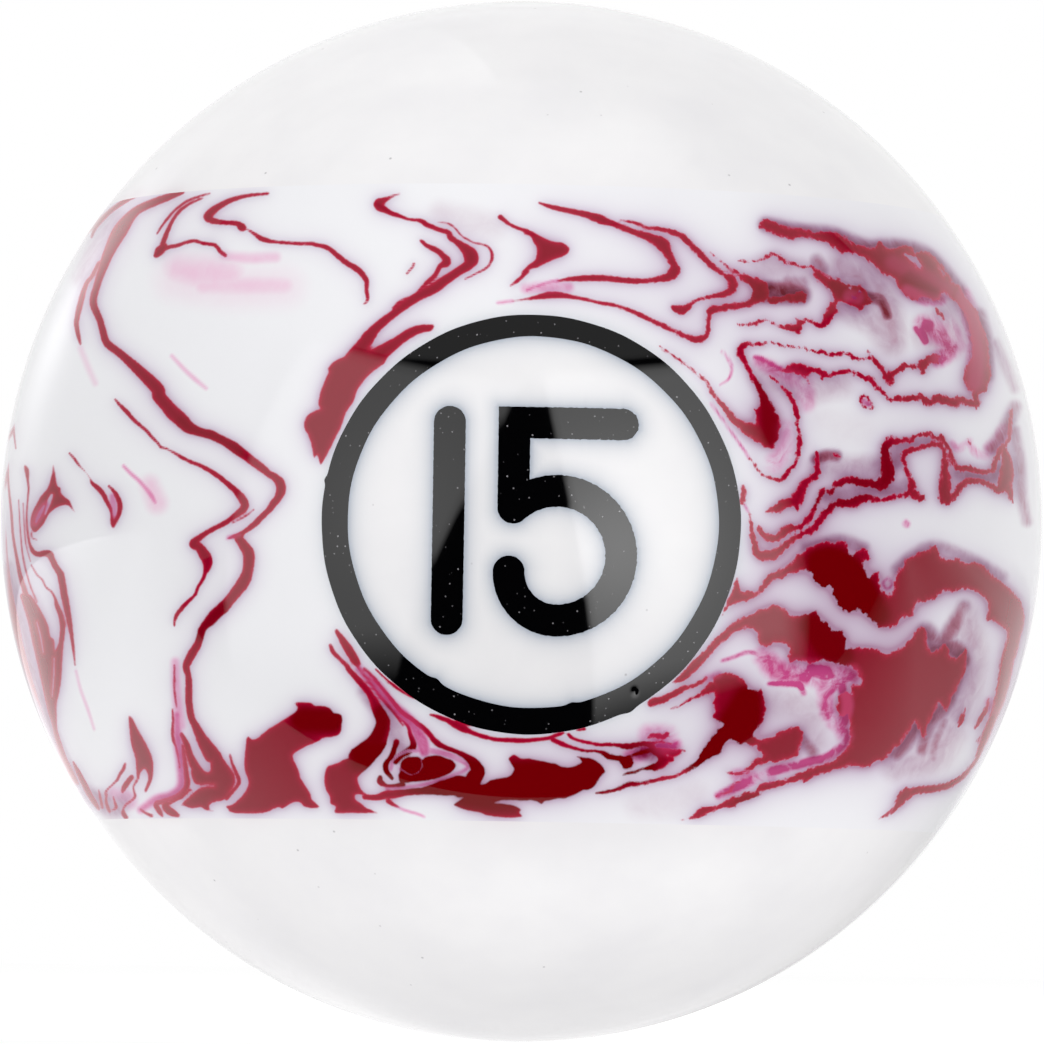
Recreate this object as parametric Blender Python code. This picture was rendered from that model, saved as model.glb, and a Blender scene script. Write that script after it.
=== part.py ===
"""A striped pool ball. A marbled resin stripe is cast round a white core, a white cap is cast on
each flat end, and a number is inlaid on two opposite sides before the ball is ground round.

Metres. +Z runs along the stripe's axis, -Y faces the front number, and the origin is the
ball's centre."""

import math

import bmesh
import bpy
from mathutils import Vector

MM = 0.001

# Ball, stripe and core
BALL_DIAMETER = 57.15 * MM
STRIPE_HEIGHT = 33.6 * MM
CORE_DIAMETER = 34.0 * MM

# Gap left at every cast joint
SEAM = 0.2 * MM

# Number inlay: a black ring round a white disc, both set into a blind bore of the stripe
RING_DIAMETER = 21.95 * MM
RING_WALL = 1.27 * MM
INLAY_DEPTH = 6.0 * MM
INLAY_DROP = 1.3 * MM
DISC_SHIFT_RIGHT = 0.1 * MM
DISC_SHIFT_UP = 0.09 * MM

# Digits: round-ended strokes of one width, set into pockets of the disc
DIGIT_HEIGHT = 11.95 * MM
DIGIT_STROKE = 1.66 * MM
DIGIT_DEPTH = 3.0 * MM
ONE_X = -4.46 * MM
FIVE_STEM_X = -1.09 * MM
FIVE_BAR_END_X = 4.58 * MM
FIVE_BOWL_X = 1.22 * MM
FIVE_BOWL_RADIUS = 3.37 * MM
FIVE_TAIL_RADIUS = 2.5 * MM

# Facets
BALL_SEGMENTS = 72
ROUND_SEGMENTS = 72
CAP_STEPS = 10
ARC_STEP = math.radians(12)
SMOOTH_BELOW = math.radians(30)

# How far blanks and cutters stand out of the ball before it is ground
OVERSIZE = 2.0 * MM

WHITE_RESIN = ("white_resin", (0.87, 0.86, 0.87), 0.06)
MARBLED_RESIN = ("marbled_resin", (0.62, 0.33, 0.38), 0.06)
BLACK_RESIN = ("black_resin", (0.006, 0.006, 0.007), 0.06)

BALL_RADIUS = BALL_DIAMETER / 2
STRIPE_TOP = STRIPE_HEIGHT / 2 - SEAM / 2
CAP_BASE = STRIPE_HEIGHT / 2 + SEAM / 2
RING_RADIUS = RING_DIAMETER / 2
RING_BORE = RING_RADIUS - RING_WALL
DISC_RADIUS = RING_BORE - SEAM
BORE_FLOOR = BALL_RADIUS - INLAY_DEPTH
INLAY_FLOOR = BORE_FLOOR + SEAM
POCKET_FLOOR = BALL_RADIUS - DIGIT_DEPTH
DIGIT_FLOOR = POCKET_FLOOR + SEAM
HALF_STROKE = DIGIT_STROKE / 2


def new_collection(name):
    collection = bpy.data.collections.new(name)
    bpy.context.scene.collection.children.link(collection)
    return collection


def resin(name, colour, roughness):
    material = bpy.data.materials.get(name) or bpy.data.materials.new(name)
    material.use_nodes = True
    shader = material.node_tree.nodes["Principled BSDF"]
    shader.inputs["Base Color"].default_value = (*colour, 1.0)
    shader.inputs["Roughness"].default_value = roughness
    shader.inputs["Metallic"].default_value = 0.0
    return material


def new_part(name, mesh, finish, parent=None):
    mesh.materials.append(resin(*finish))
    part = bpy.data.objects.new(name, mesh)
    part.parent = parent
    PARTS.objects.link(part)
    return part


def new_cutter(name, mesh, parent=None):
    cutter = bpy.data.objects.new(name, mesh)
    cutter.parent = parent
    cutter.hide_render = True
    cutter.display_type = "WIRE"
    CUTTERS.objects.link(cutter)
    return cutter


def mesh_from(name, bm):
    mesh = bpy.data.meshes.new(name)
    bm.to_mesh(mesh)
    bm.free()
    return mesh


def sphere_mesh(name, radius):
    bm = bmesh.new()
    bmesh.ops.create_uvsphere(
        bm, u_segments=BALL_SEGMENTS, v_segments=BALL_SEGMENTS // 2, radius=radius
    )
    return mesh_from(name, bm)


def cylinder_mesh(name, radius, low, high, centre=(0.0, 0.0)):
    """A round bar along Z from low to high."""
    bm = bmesh.new()
    bmesh.ops.create_cone(
        bm, cap_ends=True, segments=ROUND_SEGMENTS, radius1=radius, radius2=radius, depth=high - low
    )
    bmesh.ops.translate(bm, verts=bm.verts, vec=(*centre, (low + high) / 2))
    return mesh_from(name, bm)


def boolean(part, operation, tool):
    modifier = part.modifiers.new(f"{operation.lower()}_{tool.name}", "BOOLEAN")
    modifier.operation = operation
    modifier.object = tool


def settle(part):
    """Applies the part's cuts, then shades its round faces smooth and keeps its edges sharp."""
    bpy.context.view_layer.update()
    evaluated = part.evaluated_get(bpy.context.evaluated_depsgraph_get())
    mesh = bpy.data.meshes.new_from_object(evaluated)
    mesh.name = part.name
    part.modifiers.clear()
    part.data = mesh
    mesh.shade_smooth()
    mesh.set_sharp_from_angle(angle=SMOOTH_BELOW)


def grind(part):
    """Takes the part down to the ball's surface."""
    boolean(part, "INTERSECT", BALL_FORM)
    settle(part)


def arc(centre, radius, start, end):
    """Points along an arc, both ends included; the angle falls when end is below start."""
    steps = max(1, math.ceil(abs(end - start) / ARC_STEP))
    angles = [start + (end - start) * i / steps for i in range(steps + 1)]
    return [centre + radius * Vector((math.cos(a), math.sin(a))) for a in angles]


def half_turn(centre, side):
    """Points of a half circle from centre + side clockwise round to centre - side, ends left out."""
    turn = math.pi / CAP_STEPS
    start = math.atan2(side.y, side.x)
    return arc(centre, side.length, start - turn, start - math.pi + turn)


def stroke_outline(path, half_width, round_start=True):
    """The outline of a stroke along a path: its left side, its round end, its right side back and
    its round or square start. A corner in the path is mitred."""
    ways = [(b - a).normalized() for a, b in zip(path, path[1:])]
    lefts = [Vector((-way.y, way.x)) for way in ways]
    sides = [lefts[0]]
    sides += [(a + b) / (1 + a.dot(b)) for a, b in zip(lefts, lefts[1:])]
    sides += [lefts[-1]]
    left = [point + side * half_width for point, side in zip(path, sides)]
    right = [point - side * half_width for point, side in zip(path, sides)]
    outline = left + half_turn(path[-1], sides[-1] * half_width) + right[::-1]
    if round_start:
        outline += half_turn(path[0], -sides[0] * half_width)
    return outline


def prism_mesh(name, outline, low, high):
    """A flat outline raised from low to high: a filled 2D curve made into a mesh."""
    curve = bpy.data.curves.new(name, "CURVE")
    curve.dimensions = "2D"
    curve.fill_mode = "BOTH"
    curve.extrude = (high - low) / 2
    spline = curve.splines.new("POLY")
    spline.points.add(len(outline) - 1)
    for point, place in zip(spline.points, outline):
        point.co = (place.x, place.y, 0.0, 1.0)
    spline.use_cyclic_u = True
    holder = bpy.data.objects.new(name, curve)
    CUTTERS.objects.link(holder)
    bpy.context.view_layer.update()
    evaluated = holder.evaluated_get(bpy.context.evaluated_depsgraph_get())
    filled = bpy.data.meshes.new_from_object(evaluated)
    bpy.data.objects.remove(holder)
    bm = bmesh.new()
    bm.from_mesh(filled)
    bmesh.ops.remove_doubles(bm, verts=bm.verts, dist=SEAM / 100)
    bmesh.ops.recalc_face_normals(bm, faces=bm.faces)
    bmesh.ops.translate(bm, verts=bm.verts, vec=(0.0, 0.0, (low + high) / 2))
    return mesh_from(name, bm)


def digit_strokes():
    """The paths of the two digits on the disc, x to the right and y up, each with its start's form."""
    middle = Vector((DISC_SHIFT_RIGHT, DISC_SHIFT_UP))
    reach = DIGIT_HEIGHT / 2 - HALF_STROKE
    one = [middle + Vector((ONE_X, y)) for y in (reach, -reach)]

    bowl = Vector((FIVE_BOWL_X, FIVE_BOWL_RADIUS - reach))
    tail = Vector((FIVE_BOWL_X, FIVE_TAIL_RADIUS - reach))
    stem_angle = math.acos((FIVE_STEM_X - bowl.x) / FIVE_BOWL_RADIUS)
    stem_foot = bowl.y + FIVE_BOWL_RADIUS * math.sin(stem_angle)
    bar = [
        middle + Vector(place)
        for place in ((FIVE_BAR_END_X, reach), (FIVE_STEM_X, reach), (FIVE_STEM_X, stem_foot))
    ]
    # The bowl starts a little past the stem's middle line, so that its square end is buried in the stem.
    bowl_start = stem_angle - ARC_STEP / 5
    curl = arc(middle + bowl, FIVE_BOWL_RADIUS, bowl_start, -math.pi / 2)
    curl += arc(middle + tail, FIVE_TAIL_RADIUS, -math.pi / 2, -math.pi)[1:]
    return {"one": [(one, True)], "five": [(bar, True), (curl, False)]}


def make_body():
    """The core, the two caps and the stripe's ring, with the stripe still unbored."""
    core = new_part(
        "core", cylinder_mesh("core", CORE_DIAMETER / 2, -STRIPE_TOP, STRIPE_TOP), WHITE_RESIN
    )
    settle(core)

    blank = BALL_RADIUS + OVERSIZE
    grind(new_part("upper_cap", cylinder_mesh("upper_cap", blank, CAP_BASE, blank), WHITE_RESIN))
    grind(new_part("lower_cap", cylinder_mesh("lower_cap", blank, -blank, -CAP_BASE), WHITE_RESIN))

    stripe = new_part(
        "marbled_stripe",
        cylinder_mesh("marbled_stripe", blank, -STRIPE_TOP, STRIPE_TOP),
        MARBLED_RESIN,
    )
    core_bore = new_cutter(
        "core_bore", cylinder_mesh("core_bore", CORE_DIAMETER / 2 + SEAM, -blank, blank)
    )
    boolean(stripe, "DIFFERENCE", core_bore)
    return stripe


def make_number(side, turn, stripe):
    """One number inlay, built with its face towards +Z and stood on the ball's side by an empty."""
    seat = bpy.data.objects.new(f"{side}_number_seat", None)
    seat.location = (0.0, 0.0, -INLAY_DROP)
    seat.rotation_euler = (math.pi / 2, 0.0, turn)
    PARTS.objects.link(seat)
    proud = BALL_RADIUS + OVERSIZE
    disc_centre = (DISC_SHIFT_RIGHT, DISC_SHIFT_UP)

    name = f"{side}_inlay_bore"
    bore = new_cutter(name, cylinder_mesh(name, RING_RADIUS + SEAM, BORE_FLOOR, proud), seat)
    boolean(stripe, "DIFFERENCE", bore)

    name = f"{side}_number_ring"
    ring = new_part(name, cylinder_mesh(name, RING_RADIUS, INLAY_FLOOR, proud), BLACK_RESIN, seat)
    name = f"{side}_ring_bore"
    hole = cylinder_mesh(name, RING_BORE, BORE_FLOOR, proud + OVERSIZE, disc_centre)
    boolean(ring, "DIFFERENCE", new_cutter(name, hole, seat))
    grind(ring)

    name = f"{side}_number_disc"
    blank = cylinder_mesh(name, DISC_RADIUS, INLAY_FLOOR, proud, disc_centre)
    disc = new_part(name, blank, WHITE_RESIN, seat)
    for figure, strokes in digit_strokes().items():
        name = f"{side}_digit_{figure}"
        solids = []
        for path, round_start in strokes:
            outline = stroke_outline(path, HALF_STROKE, round_start)
            solids.append(prism_mesh(name, outline, DIGIT_FLOOR, proud))
            outline = stroke_outline(path, HALF_STROKE + SEAM, round_start)
            pocket = prism_mesh(f"{name}_pocket", outline, POCKET_FLOOR, proud + OVERSIZE)
            boolean(disc, "DIFFERENCE", new_cutter(f"{name}_pocket", pocket, seat))
        digit = new_part(name, solids[0], BLACK_RESIN, seat)
        for more in solids[1:]:
            boolean(digit, "UNION", new_cutter(f"{name}_bowl", more, seat))
        grind(digit)
    grind(disc)


for leftover in list(bpy.data.objects):
    bpy.data.objects.remove(leftover)

PARTS = new_collection("striped_pool_ball")
CUTTERS = new_collection("cutters")
BALL_FORM = new_cutter("ball_form", sphere_mesh("ball_form", BALL_RADIUS))

marbled_stripe = make_body()
make_number("front", 0.0, marbled_stripe)
make_number("back", math.pi, marbled_stripe)
grind(marbled_stripe)
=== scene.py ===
"""A striped pool ball, number 15, dressed over its CAD frame. Sizes are in millimetres until a mesh is
made."""

import bpy
import numpy as np
from mathutils import Matrix, Vector
from mathutils.geometry import delaunay_2d_cdt


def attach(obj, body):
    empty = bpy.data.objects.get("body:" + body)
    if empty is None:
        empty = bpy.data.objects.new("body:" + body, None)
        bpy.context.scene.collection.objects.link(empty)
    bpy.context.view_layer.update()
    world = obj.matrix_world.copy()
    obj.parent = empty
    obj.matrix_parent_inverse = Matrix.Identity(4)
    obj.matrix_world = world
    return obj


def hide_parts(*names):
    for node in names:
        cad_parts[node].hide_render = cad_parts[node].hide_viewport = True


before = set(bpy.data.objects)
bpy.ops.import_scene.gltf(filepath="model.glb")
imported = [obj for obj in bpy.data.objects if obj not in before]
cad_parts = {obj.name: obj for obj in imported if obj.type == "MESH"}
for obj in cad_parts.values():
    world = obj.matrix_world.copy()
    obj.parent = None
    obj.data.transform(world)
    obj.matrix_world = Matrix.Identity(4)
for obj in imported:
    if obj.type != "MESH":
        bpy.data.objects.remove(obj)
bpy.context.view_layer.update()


# Core: a plain bar of white phenolic resin, cast first, that the stripe is poured round.
# None of it shows in a finished ball, so it keeps its CAD form and takes the white resin.

MM = 0.001


def linear(colour):
    """Linear red, green and blue of an sRGB hex colour: (c + 0.055) / 1.055 to the power 2.4."""
    light = np.array([int(colour[i:i + 2], 16) for i in (1, 3, 5)]) / 255
    light = np.where(light < 0.04045, light / 12.92, ((light + 0.055) / 1.055) ** 2.4)
    return (*light, 1.0)


def add(tree, kind, inputs=(), stops=(), **settings):
    """Adds a node. A socket given as an input is linked, a value is set, and stops fill a colour ramp."""
    made = tree.nodes.new(kind)
    for name, value in settings.items():
        setattr(made, name, value)
    for name, value in dict(inputs).items():
        if isinstance(value, bpy.types.NodeSocket):
            tree.links.new(value, made.inputs[name])
        else:
            made.inputs[name].default_value = value
    for number, (place, colour) in enumerate(stops):
        ramp = made.color_ramp.elements
        stop = ramp[number] if number < len(ramp) else ramp.new(place)
        stop.position = place
        stop.color = linear(colour)
    return made.outputs


def phenolic(name, paint):
    """Cast phenolic resin, ground and polished: a hard gloss, as strong as paint says, over paint's
    colour."""
    material = bpy.data.materials.new(name)
    material.use_nodes = True
    tree = material.node_tree
    tree.nodes.clear()
    place = add(tree, "ShaderNodeTexCoord")["Object"]
    colour, mirror = paint(tree, place)
    gloss = {"Base Color": colour, "Roughness": 0.03, "IOR": 1.58, "Specular IOR Level": mirror}
    shader = add(tree, "ShaderNodeBsdfPrincipled", gloss)
    add(tree, "ShaderNodeOutputMaterial", {"Surface": shader["BSDF"]})
    return material


def white_paint(tree, place):
    """Milky white, clouded over about 6 mm, with a rare grey fleck, painted bluish grey shade beside the
    black inlay and painted pink shade beside the stripe's dye. Gives the colour and how strongly it
    mirrors."""
    cloud = add(tree, "ShaderNodeTexNoise", {"Vector": place, "Scale": 1 / (6 * MM), "Detail": 3.0})
    white = add(
        tree, "ShaderNodeValToRGB", {"Fac": cloud["Fac"]},
        [(0.3, "#ecebed"), (0.7, "#f3f2f3")],
    )["Color"]
    # Painted shade: bluish grey where the white lies beside the black.
    shade = add(tree, "ShaderNodeAttribute", attribute_name="shade")["Fac"]
    white = add(
        tree, "ShaderNodeMix", {0: shade, 6: white, 7: linear("#8796aa")}, data_type="RGBA"
    )[2]
    # Painted shade: pinkish lilac where the white lies beside the stripe's dye.
    painted_dye_shade = add(tree, "ShaderNodeAttribute", attribute_name="painted_dye_shade")["Fac"]
    white = add(
        tree, "ShaderNodeMix", {0: painted_dye_shade, 6: white, 7: linear("#c49ab0")}, data_type="RGBA"
    )[2]
    fleck = add(tree, "ShaderNodeTexVoronoi", {"Vector": place, "Scale": 1 / (2.2 * MM)})["Distance"]
    fleck = add(
        tree, "ShaderNodeMapRange",
        {"Value": fleck, "From Min": 0.02, "From Max": 0.045, "To Min": 0.55, "To Max": 0.0},
    )["Result"]
    white = add(
        tree, "ShaderNodeMix", {0: fleck, 6: white, 7: linear("#8f8c92")}, data_type="RGBA"
    )[2]
    return white, 0.3


# White phenolic: opaque, cast milky and polished, so the eye gets a clean white and a sharp gloss,
# with painted shade beside the black inlay and the stripe's dye.
WHITE_RESIN = phenolic("white_phenolic", white_paint)
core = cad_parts["core"]
core.data.materials.clear()
core.data.materials.append(WHITE_RESIN)


# Marbled stripe: white phenolic with burgundy dye folded into it before it set, ground flush with the
# caps. The dye lies in veins and pools that were cut through by the grinding. The lilac grey of the
# white beside it is painted shade, and its darkest parts are partly painted shade. The stripe is one
# casting; it is made here as six panels, so that each keeps fine enough points for its veins.

BALL_RADIUS = 28.575
STRIPE_HALF = 16.8
CORE_BORE = 17.2
NUMBER_HALF_ANGLE = 35.0
SIDE_HALF_ANGLE = 27.5

# The veins were drawn as they face a viewer 550 mm off, in millimetres across and up from the
# ball's middle, so a point of the ball is looked up where that viewer sees it.
VIEW_DISTANCE = 550.0
azimuth, elevation, roll = np.radians([-1.12, -2.5, 0.9])
view_out = np.array([
    np.sin(azimuth) * np.cos(elevation),
    -np.cos(azimuth) * np.cos(elevation),
    np.sin(elevation),
])
level = np.array([np.cos(azimuth), np.sin(azimuth), 0.0])
upright = np.cross(level, -view_out)
view_right = np.cos(roll) * level + np.sin(roll) * upright
view_up = np.cos(roll) * upright - np.sin(roll) * level
PLANE_SCALE = np.tan(np.arcsin(BALL_RADIUS / VIEW_DISTANCE)) / BALL_RADIUS


def seen_at(points):
    """Where the viewer sees points: their distance to the right and up over their depth."""
    depth = (VIEW_DISTANCE - points @ view_out) * PLANE_SCALE
    return points @ view_right / depth, points @ view_up / depth


# Veins: across, up and width at points along each one.
VEINS = [
    # upper left
    [(-18.6, 18.1, .25), (-19.4, 17.8, .4), (-20.2, 17.5, .45), (-21.2, 17, .5), (-22, 16, .8),
     (-22.54, 15, .65), (-22.95, 14, .5), (-23.28, 13, .4), (-23.5, 12, .42), (-23.12, 11, .38),
     (-22.85, 10, .42), (-22.6, 9.65, .45), (-22, 9.2, .45), (-21, 8.3, .6), (-20, 7.3, .75),
     (-19.9, 6.9, .75), (-19.5, 6.4, .75), (-19.1, 5.95, .8), (-18.7, 5.6, .8), (-18.3, 5.2, .7),
     (-17.9, 5, .55), (-17.4, 4.85, .5), (-17, 4.75, .55), (-16.6, 4.55, .5), (-16.2, 4.35, .5),
     (-15.8, 4.1, .6), (-15.4, 3.8, .55), (-15, 3.5, .5), (-14.6, 3.2, .5), (-14.2, 2.9, .45),
     (-13.9, 2.65, .4), (-13.5, 2.4, .45), (-13.25, 2.1, .55), (-13.2, 1.7, .55), (-13.35, 1.3, .45),
     (-13.6, 1, .45), (-13.9, .6, .35), (-14.3, .2, .35), (-14.6, -.1, .35), (-14.9, -.35, .3),
     (-15.2, -.55, .25), (-15.5, -.75, .3), (-16.1, -.9, .1)],
    [(-15.5, -.95, .5), (-15.25, -1.3, .55), (-15, -1.7, .65), (-14.95, -2.1, .65), (-15, -2.6, .6),
     (-15.1, -3, .65), (-15.3, -3.4, .7), (-15.6, -3.8, .65), (-16, -4.3, .6), (-16.4, -4.75, .65),
     (-16.8, -5.1, .65), (-17.1, -5.45, .6), (-17.4, -5.75, .45), (-17.55, -6, .45), (-17.65, -6.4, .42),
     (-17.8, -6.8, .45), (-18.1, -7.3, .5), (-18.3, -7.7, .45), (-18.4, -8, .4), (-18.3, -8.4, .35),
     (-18.25, -8.8, .38), (-18.25, -9.8, .4), (-18.2, -10.3, .4), (-18.1, -10.8, .4), (-17.9, -11.2, .45),
     (-17.7, -11.6, .55), (-17.5, -12, .65), (-17.25, -12.4, .8), (-17, -12.8, .9)],
    [(-23.2, 14.2, .2), (-23.55, 13.5, .22), (-23.9, 13, .25), (-24.2, 12, .33), (-24.42, 11, .28),
     (-24.38, 10.5, .26), (-24.27, 10, .2), (-24.2, 9.7, .08)],
    [(-20.8, 18.1, .2), (-21.9, 17.5, .25), (-22.6, 17, .25), (-23.1, 16.5, .25), (-23.4, 16.1, .2),
     (-23.6, 15.6, .1)],
    [(-20.05, 14.6, .3), (-19.85, 14.85, .5), (-19.6, 15.1, .4)],
    [(-20, 15.8, .1), (-19.6, 16.4, .15), (-19, 17.1, .15), (-18.3, 17.6, .15), (-17.5, 17.9, .12),
     (-17.1, 18, .08)],
    [(-19.7, 15.2, .3), (-19.4, 16, .25), (-19.1, 16.6, .2), (-18.7, 17.1, .2), (-18.1, 17.5, .15),
     (-17.5, 17.75, .1)],
    [(-19.9, 14.9, .4), (-19.4, 15.05, .25), (-18.9, 15.15, .22), (-18.3, 15.35, .2), (-17.9, 15.4, .2),
     (-17.4, 15.25, .2), (-16.9, 15.2, .22), (-16.7, 15.05, .22), (-16.5, 14.8, .25), (-16.25, 14.6, .2)],
    [(-13.9, 18, .15), (-14.5, 17.95, .18), (-15.2, 17.85, .22), (-15.9, 17.65, .3), (-16.5, 17.35, .35),
     (-17, 17, .45), (-17.2, 16.7, .5), (-16.9, 16.5, .35), (-16.2, 16.4, .25), (-15.6, 16.35, .3),
     (-15.35, 16.15, .45), (-15.1, 16.05, .12), (-14.9, 15.95, .15), (-14.6, 15.75, .22),
     (-14.2, 15.5, .3), (-13.6, 15.35, .2), (-12.9, 15.3, .2), (-12.2, 15.25, .2), (-11.6, 15.25, .22),
     (-11.1, 15.15, .25), (-10.6, 15, .28), (-10.1, 14.6, .3), (-9.6, 14.2, .32), (-9.1, 13.9, .35),
     (-8.75, 13.6, .33), (-8.5, 13.2, .3), (-8.5, 12.7, .22), (-8.45, 12.2, .2), (-8.65, 11.9, .08)],
    # above the ring
    [(-7, 11.7, .25), (-6.6, 12.1, .2), (-5.9, 12.45, .12), (-5.2, 13.1, .25), (-4.75, 13.5, .28),
     (-4.45, 14, .3), (-4.1, 14.25, .5), (-4.3, 14.6, .35), (-4.7, 14.9, .32), (-5.2, 15.15, .25),
     (-5.5, 15.4, .2)],
    [(-8.4, 10.2, .6), (-7.6, 10.95, .5), (-7, 11.4, .45), (-6.3, 11.95, .5), (-5.5, 12.45, .55),
     (-4.8, 12.8, .6), (-4.1, 13.3, .55), (-3.5, 13.7, .5), (-2.9, 14.1, .6), (-2.75, 14.5, .85),
     (-3, 14.9, .6), (-3.5, 15.3, .35), (-3.9, 15.6, .35), (-4, 15.85, .3), (-4.6, 16.05, .25),
     (-5.2, 16.3, .3), (-5.5, 16.5, .25), (-6.2, 16.6, .15), (-6.8, 16.8, .25), (-7.3, 17, .3),
     (-7.85, 17.4, .55), (-7.3, 17.75, .2), (-6.7, 18, .08)],
    [(-4.6, 16.45, .06), (-4, 16.35, .1), (-3.6, 16.05, .1), (-3.35, 15.75, .1), (-3, 15.5, .1),
     (-2.6, 15.3, .1), (-2.1, 15.2, .12), (-1.75, 15, .15), (-1.6, 14.6, .2), (-1.7, 14.2, .15),
     (-1.95, 13.9, .14), (-2.5, 13.6, .12), (-3.1, 13.3, .08)],
    [(-5.9, 14.15, .15), (-6, 13.95, .15), (-6.3, 13.6, .12)],
    [(-1.15, 16.7, .3), (-.7, 16.35, .2), (-.2, 16.1, .2), (.3, 15.95, .25)],
    [(.3, 13.75, .3), (0, 13.4, .22), (-.3, 13.15, .2), (-.6, 12.95, .1)],
    [(2, 13.2, .08), (2.6, 13.3, .25), (3.5, 13.35, .35), (4.5, 13.35, .35), (5.5, 13.25, .33),
     (6.5, 13.2, .3), (7.3, 13.25, .3), (8, 13.4, .45), (8.4, 13.7, .65), (8.4, 14, .5), (8.2, 14.4, .45),
     (7.95, 14.9, .6), (7.7, 15.25, .75), (7, 15.6, .45), (6, 15.95, .35), (5, 16.35, .35),
     (4.3, 16.6, .5), (3.4, 16.88, .35), (2.5, 17.08, .3), (1.6, 17.28, .25), (.95, 17.5, .1)],
    [(-.5, 12.1, .06), (.2, 12.2, .12), (.8, 12.3, .25), (1.5, 12.42, .4), (2.2, 12.42, .35),
     (2.9, 12.3, .22), (3.5, 12.2, .2), (4.3, 12, .2), (5, 11.9, .2), (5.8, 11.65, .22),
     (6.5, 11.35, .25), (7.2, 11, .25), (7.9, 10.7, .25), (8.6, 10.35, .26), (9.2, 10.1, .3),
     (9.6, 10, .4), (10.05, 10.08, .35), (10.2, 10.35, .28), (10.25, 10.8, .25), (10.3, 11.3, .3),
     (10.45, 11.6, .5), (10.9, 11.7, .4), (11.4, 11.8, .35), (12, 11.85, .35), (12.5, 12, .4),
     (12.9, 12.2, .45)],
    [(5.4, 16.55, .08), (6, 16.45, .15), (6.5, 16.3, .2), (7, 16.1, .2), (7.6, 16.05, .25),
     (8.2, 15.9, .3), (8.8, 15.65, .35), (9.2, 15.3, .35), (9.6, 14.9, .35), (10, 14.5, .35),
     (10.4, 14.1, .32), (10.8, 13.75, .28), (11.2, 13.5, .25), (11.5, 13.3, .5), (11.6, 13, .5),
     (11.55, 12.7, .45), (11.2, 12.5, .35), (10.7, 12.4, .3), (10.2, 12.3, .22), (9.8, 12.2, .2),
     (9.4, 12, .2), (9.15, 11.8, .35), (8.8, 11.6, .5), (8.35, 11.75, .35)],
    [(10.35, 14.8, .05), (10.7, 14.45, .1), (11, 14.2, .1), (11.4, 13.9, .15), (11.9, 13.6, .25),
     (12.3, 13.35, .4), (12.8, 13.1, .6)],
    [(7.6, 9.6, .05), (8, 9.3, .12), (9, 8.65, .12), (10, 7.8, .15), (10.5, 7.1, .2)],
    # upper right
    [(11.85, 14.3, .1), (12.4, 14.25, .1), (13, 14.35, .12), (13.3, 14.45, .15), (13.6, 14.6, .2),
     (13.9, 14.65, .25), (14.2, 14.5, .25), (14.5, 14.25, .25), (14.8, 14.2, .22), (15.1, 14.1, .18),
     (15.5, 14, .14), (15.9, 13.98, .14), (16.1, 13.8, .3), (16.35, 13.5, .45)],
    [(16.75, 10.95, .35), (16.5, 10.78, .3), (16.3, 10.75, .25), (16.1, 10.85, .2), (15.9, 11, .2),
     (15.6, 11.05, .15)],
    [(14, 10.8, .15), (13.7, 10.95, .15), (13.4, 11.05, .15), (13.1, 11, .2), (12.8, 10.85, .18),
     (12.3, 10.8, .15), (11.9, 10.8, .1)],
    [(14, 9.8, .12), (13.6, 9.85, .12), (13.3, 9.72, .18), (13, 9.75, .2), (12.8, 9.7, .2),
     (12.3, 9.72, .3), (12, 9.35, .4), (12.2, 8.9, .35), (12.4, 8.5, .25), (12.6, 8.1, .28),
     (12.9, 7.6, .32), (13.15, 7.1, .35), (13.4, 6.5, .6)],
    [(14, 9.8, .12), (14.25, 9.7, .15), (14.5, 9.58, .12), (14.75, 9.62, .12), (15.1, 9.55, .1),
     (15.5, 9.5, .1), (15.8, 9.37, .08), (16.2, 9.35, .18), (16.5, 9.3, .22), (16.8, 9.2, .22),
     (17.1, 9.2, .25), (17.4, 9.2, .22), (17.7, 9.25, .15), (17.95, 9.2, .15), (18.15, 9.05, .18),
     (18.4, 8.95, .2), (18.7, 8.92, .12), (19, 8.95, .12), (19.25, 8.95, .25), (19.45, 8.75, .25),
     (19.65, 8.5, .25), (19.85, 8.25, .28), (20, 7.95, .3), (20.15, 7.7, .35), (20.3, 7.6, .25)],
    [(19, 9.35, .06), (19.2, 9.05, .18)],
    [(22.75, 11.7, .1), (22.85, 11.45, .25), (23.1, 11.3, .2), (23.2, 11.1, .1)],
    [(14.2, 8.35, .1), (14.5, 8.3, .25), (14.9, 8.42, .5), (15.3, 8.38, .6), (15.6, 8.25, .6),
     (15.9, 8.35, .3), (16.3, 8.22, .3), (16.6, 8.08, .3), (16.95, 8, .15), (17.15, 8.1, .2),
     (17.4, 8.18, .22), (17.7, 8.25, .2), (18, 8.28, .18), (18.3, 8.1, .2), (18.6, 8, .3),
     (18.9, 7.88, .25), (19.2, 7.78, .3), (19.4, 7.5, .25), (19.6, 7.3, .2), (19.85, 7.05, .2),
     (20.1, 6.8, .2), (20.4, 6.65, .22), (20.7, 6.78, .3), (20.95, 6.7, .25), (21.2, 6.75, .35),
     (21.6, 6.8, .35), (21.95, 6.82, .35), (22.2, 6.6, .4), (22.5, 6.55, .4), (22.8, 6.75, .45),
     (23.1, 6.7, .5), (23.5, 6.6, .45), (23.8, 6.5, .5), (24.1, 6.7, .4), (24.4, 6.55, .35),
     (24.7, 6.5, .4), (25, 6.5, .4)],
    [(15.6, 7.95, .2), (15.75, 7.6, .05)],
    [(16.55, 8, .2), (16.55, 7.85, .15)],
    [(13.6, 8, .05), (13.9, 7.75, .1), (14.2, 7.5, .15), (14.45, 7.25, .2), (14.65, 7, .25),
     (14.85, 6.7, .25), (15, 6.35, .22), (15.1, 6, .28), (15.15, 5.6, .25), (15.15, 5.2, .2),
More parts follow.
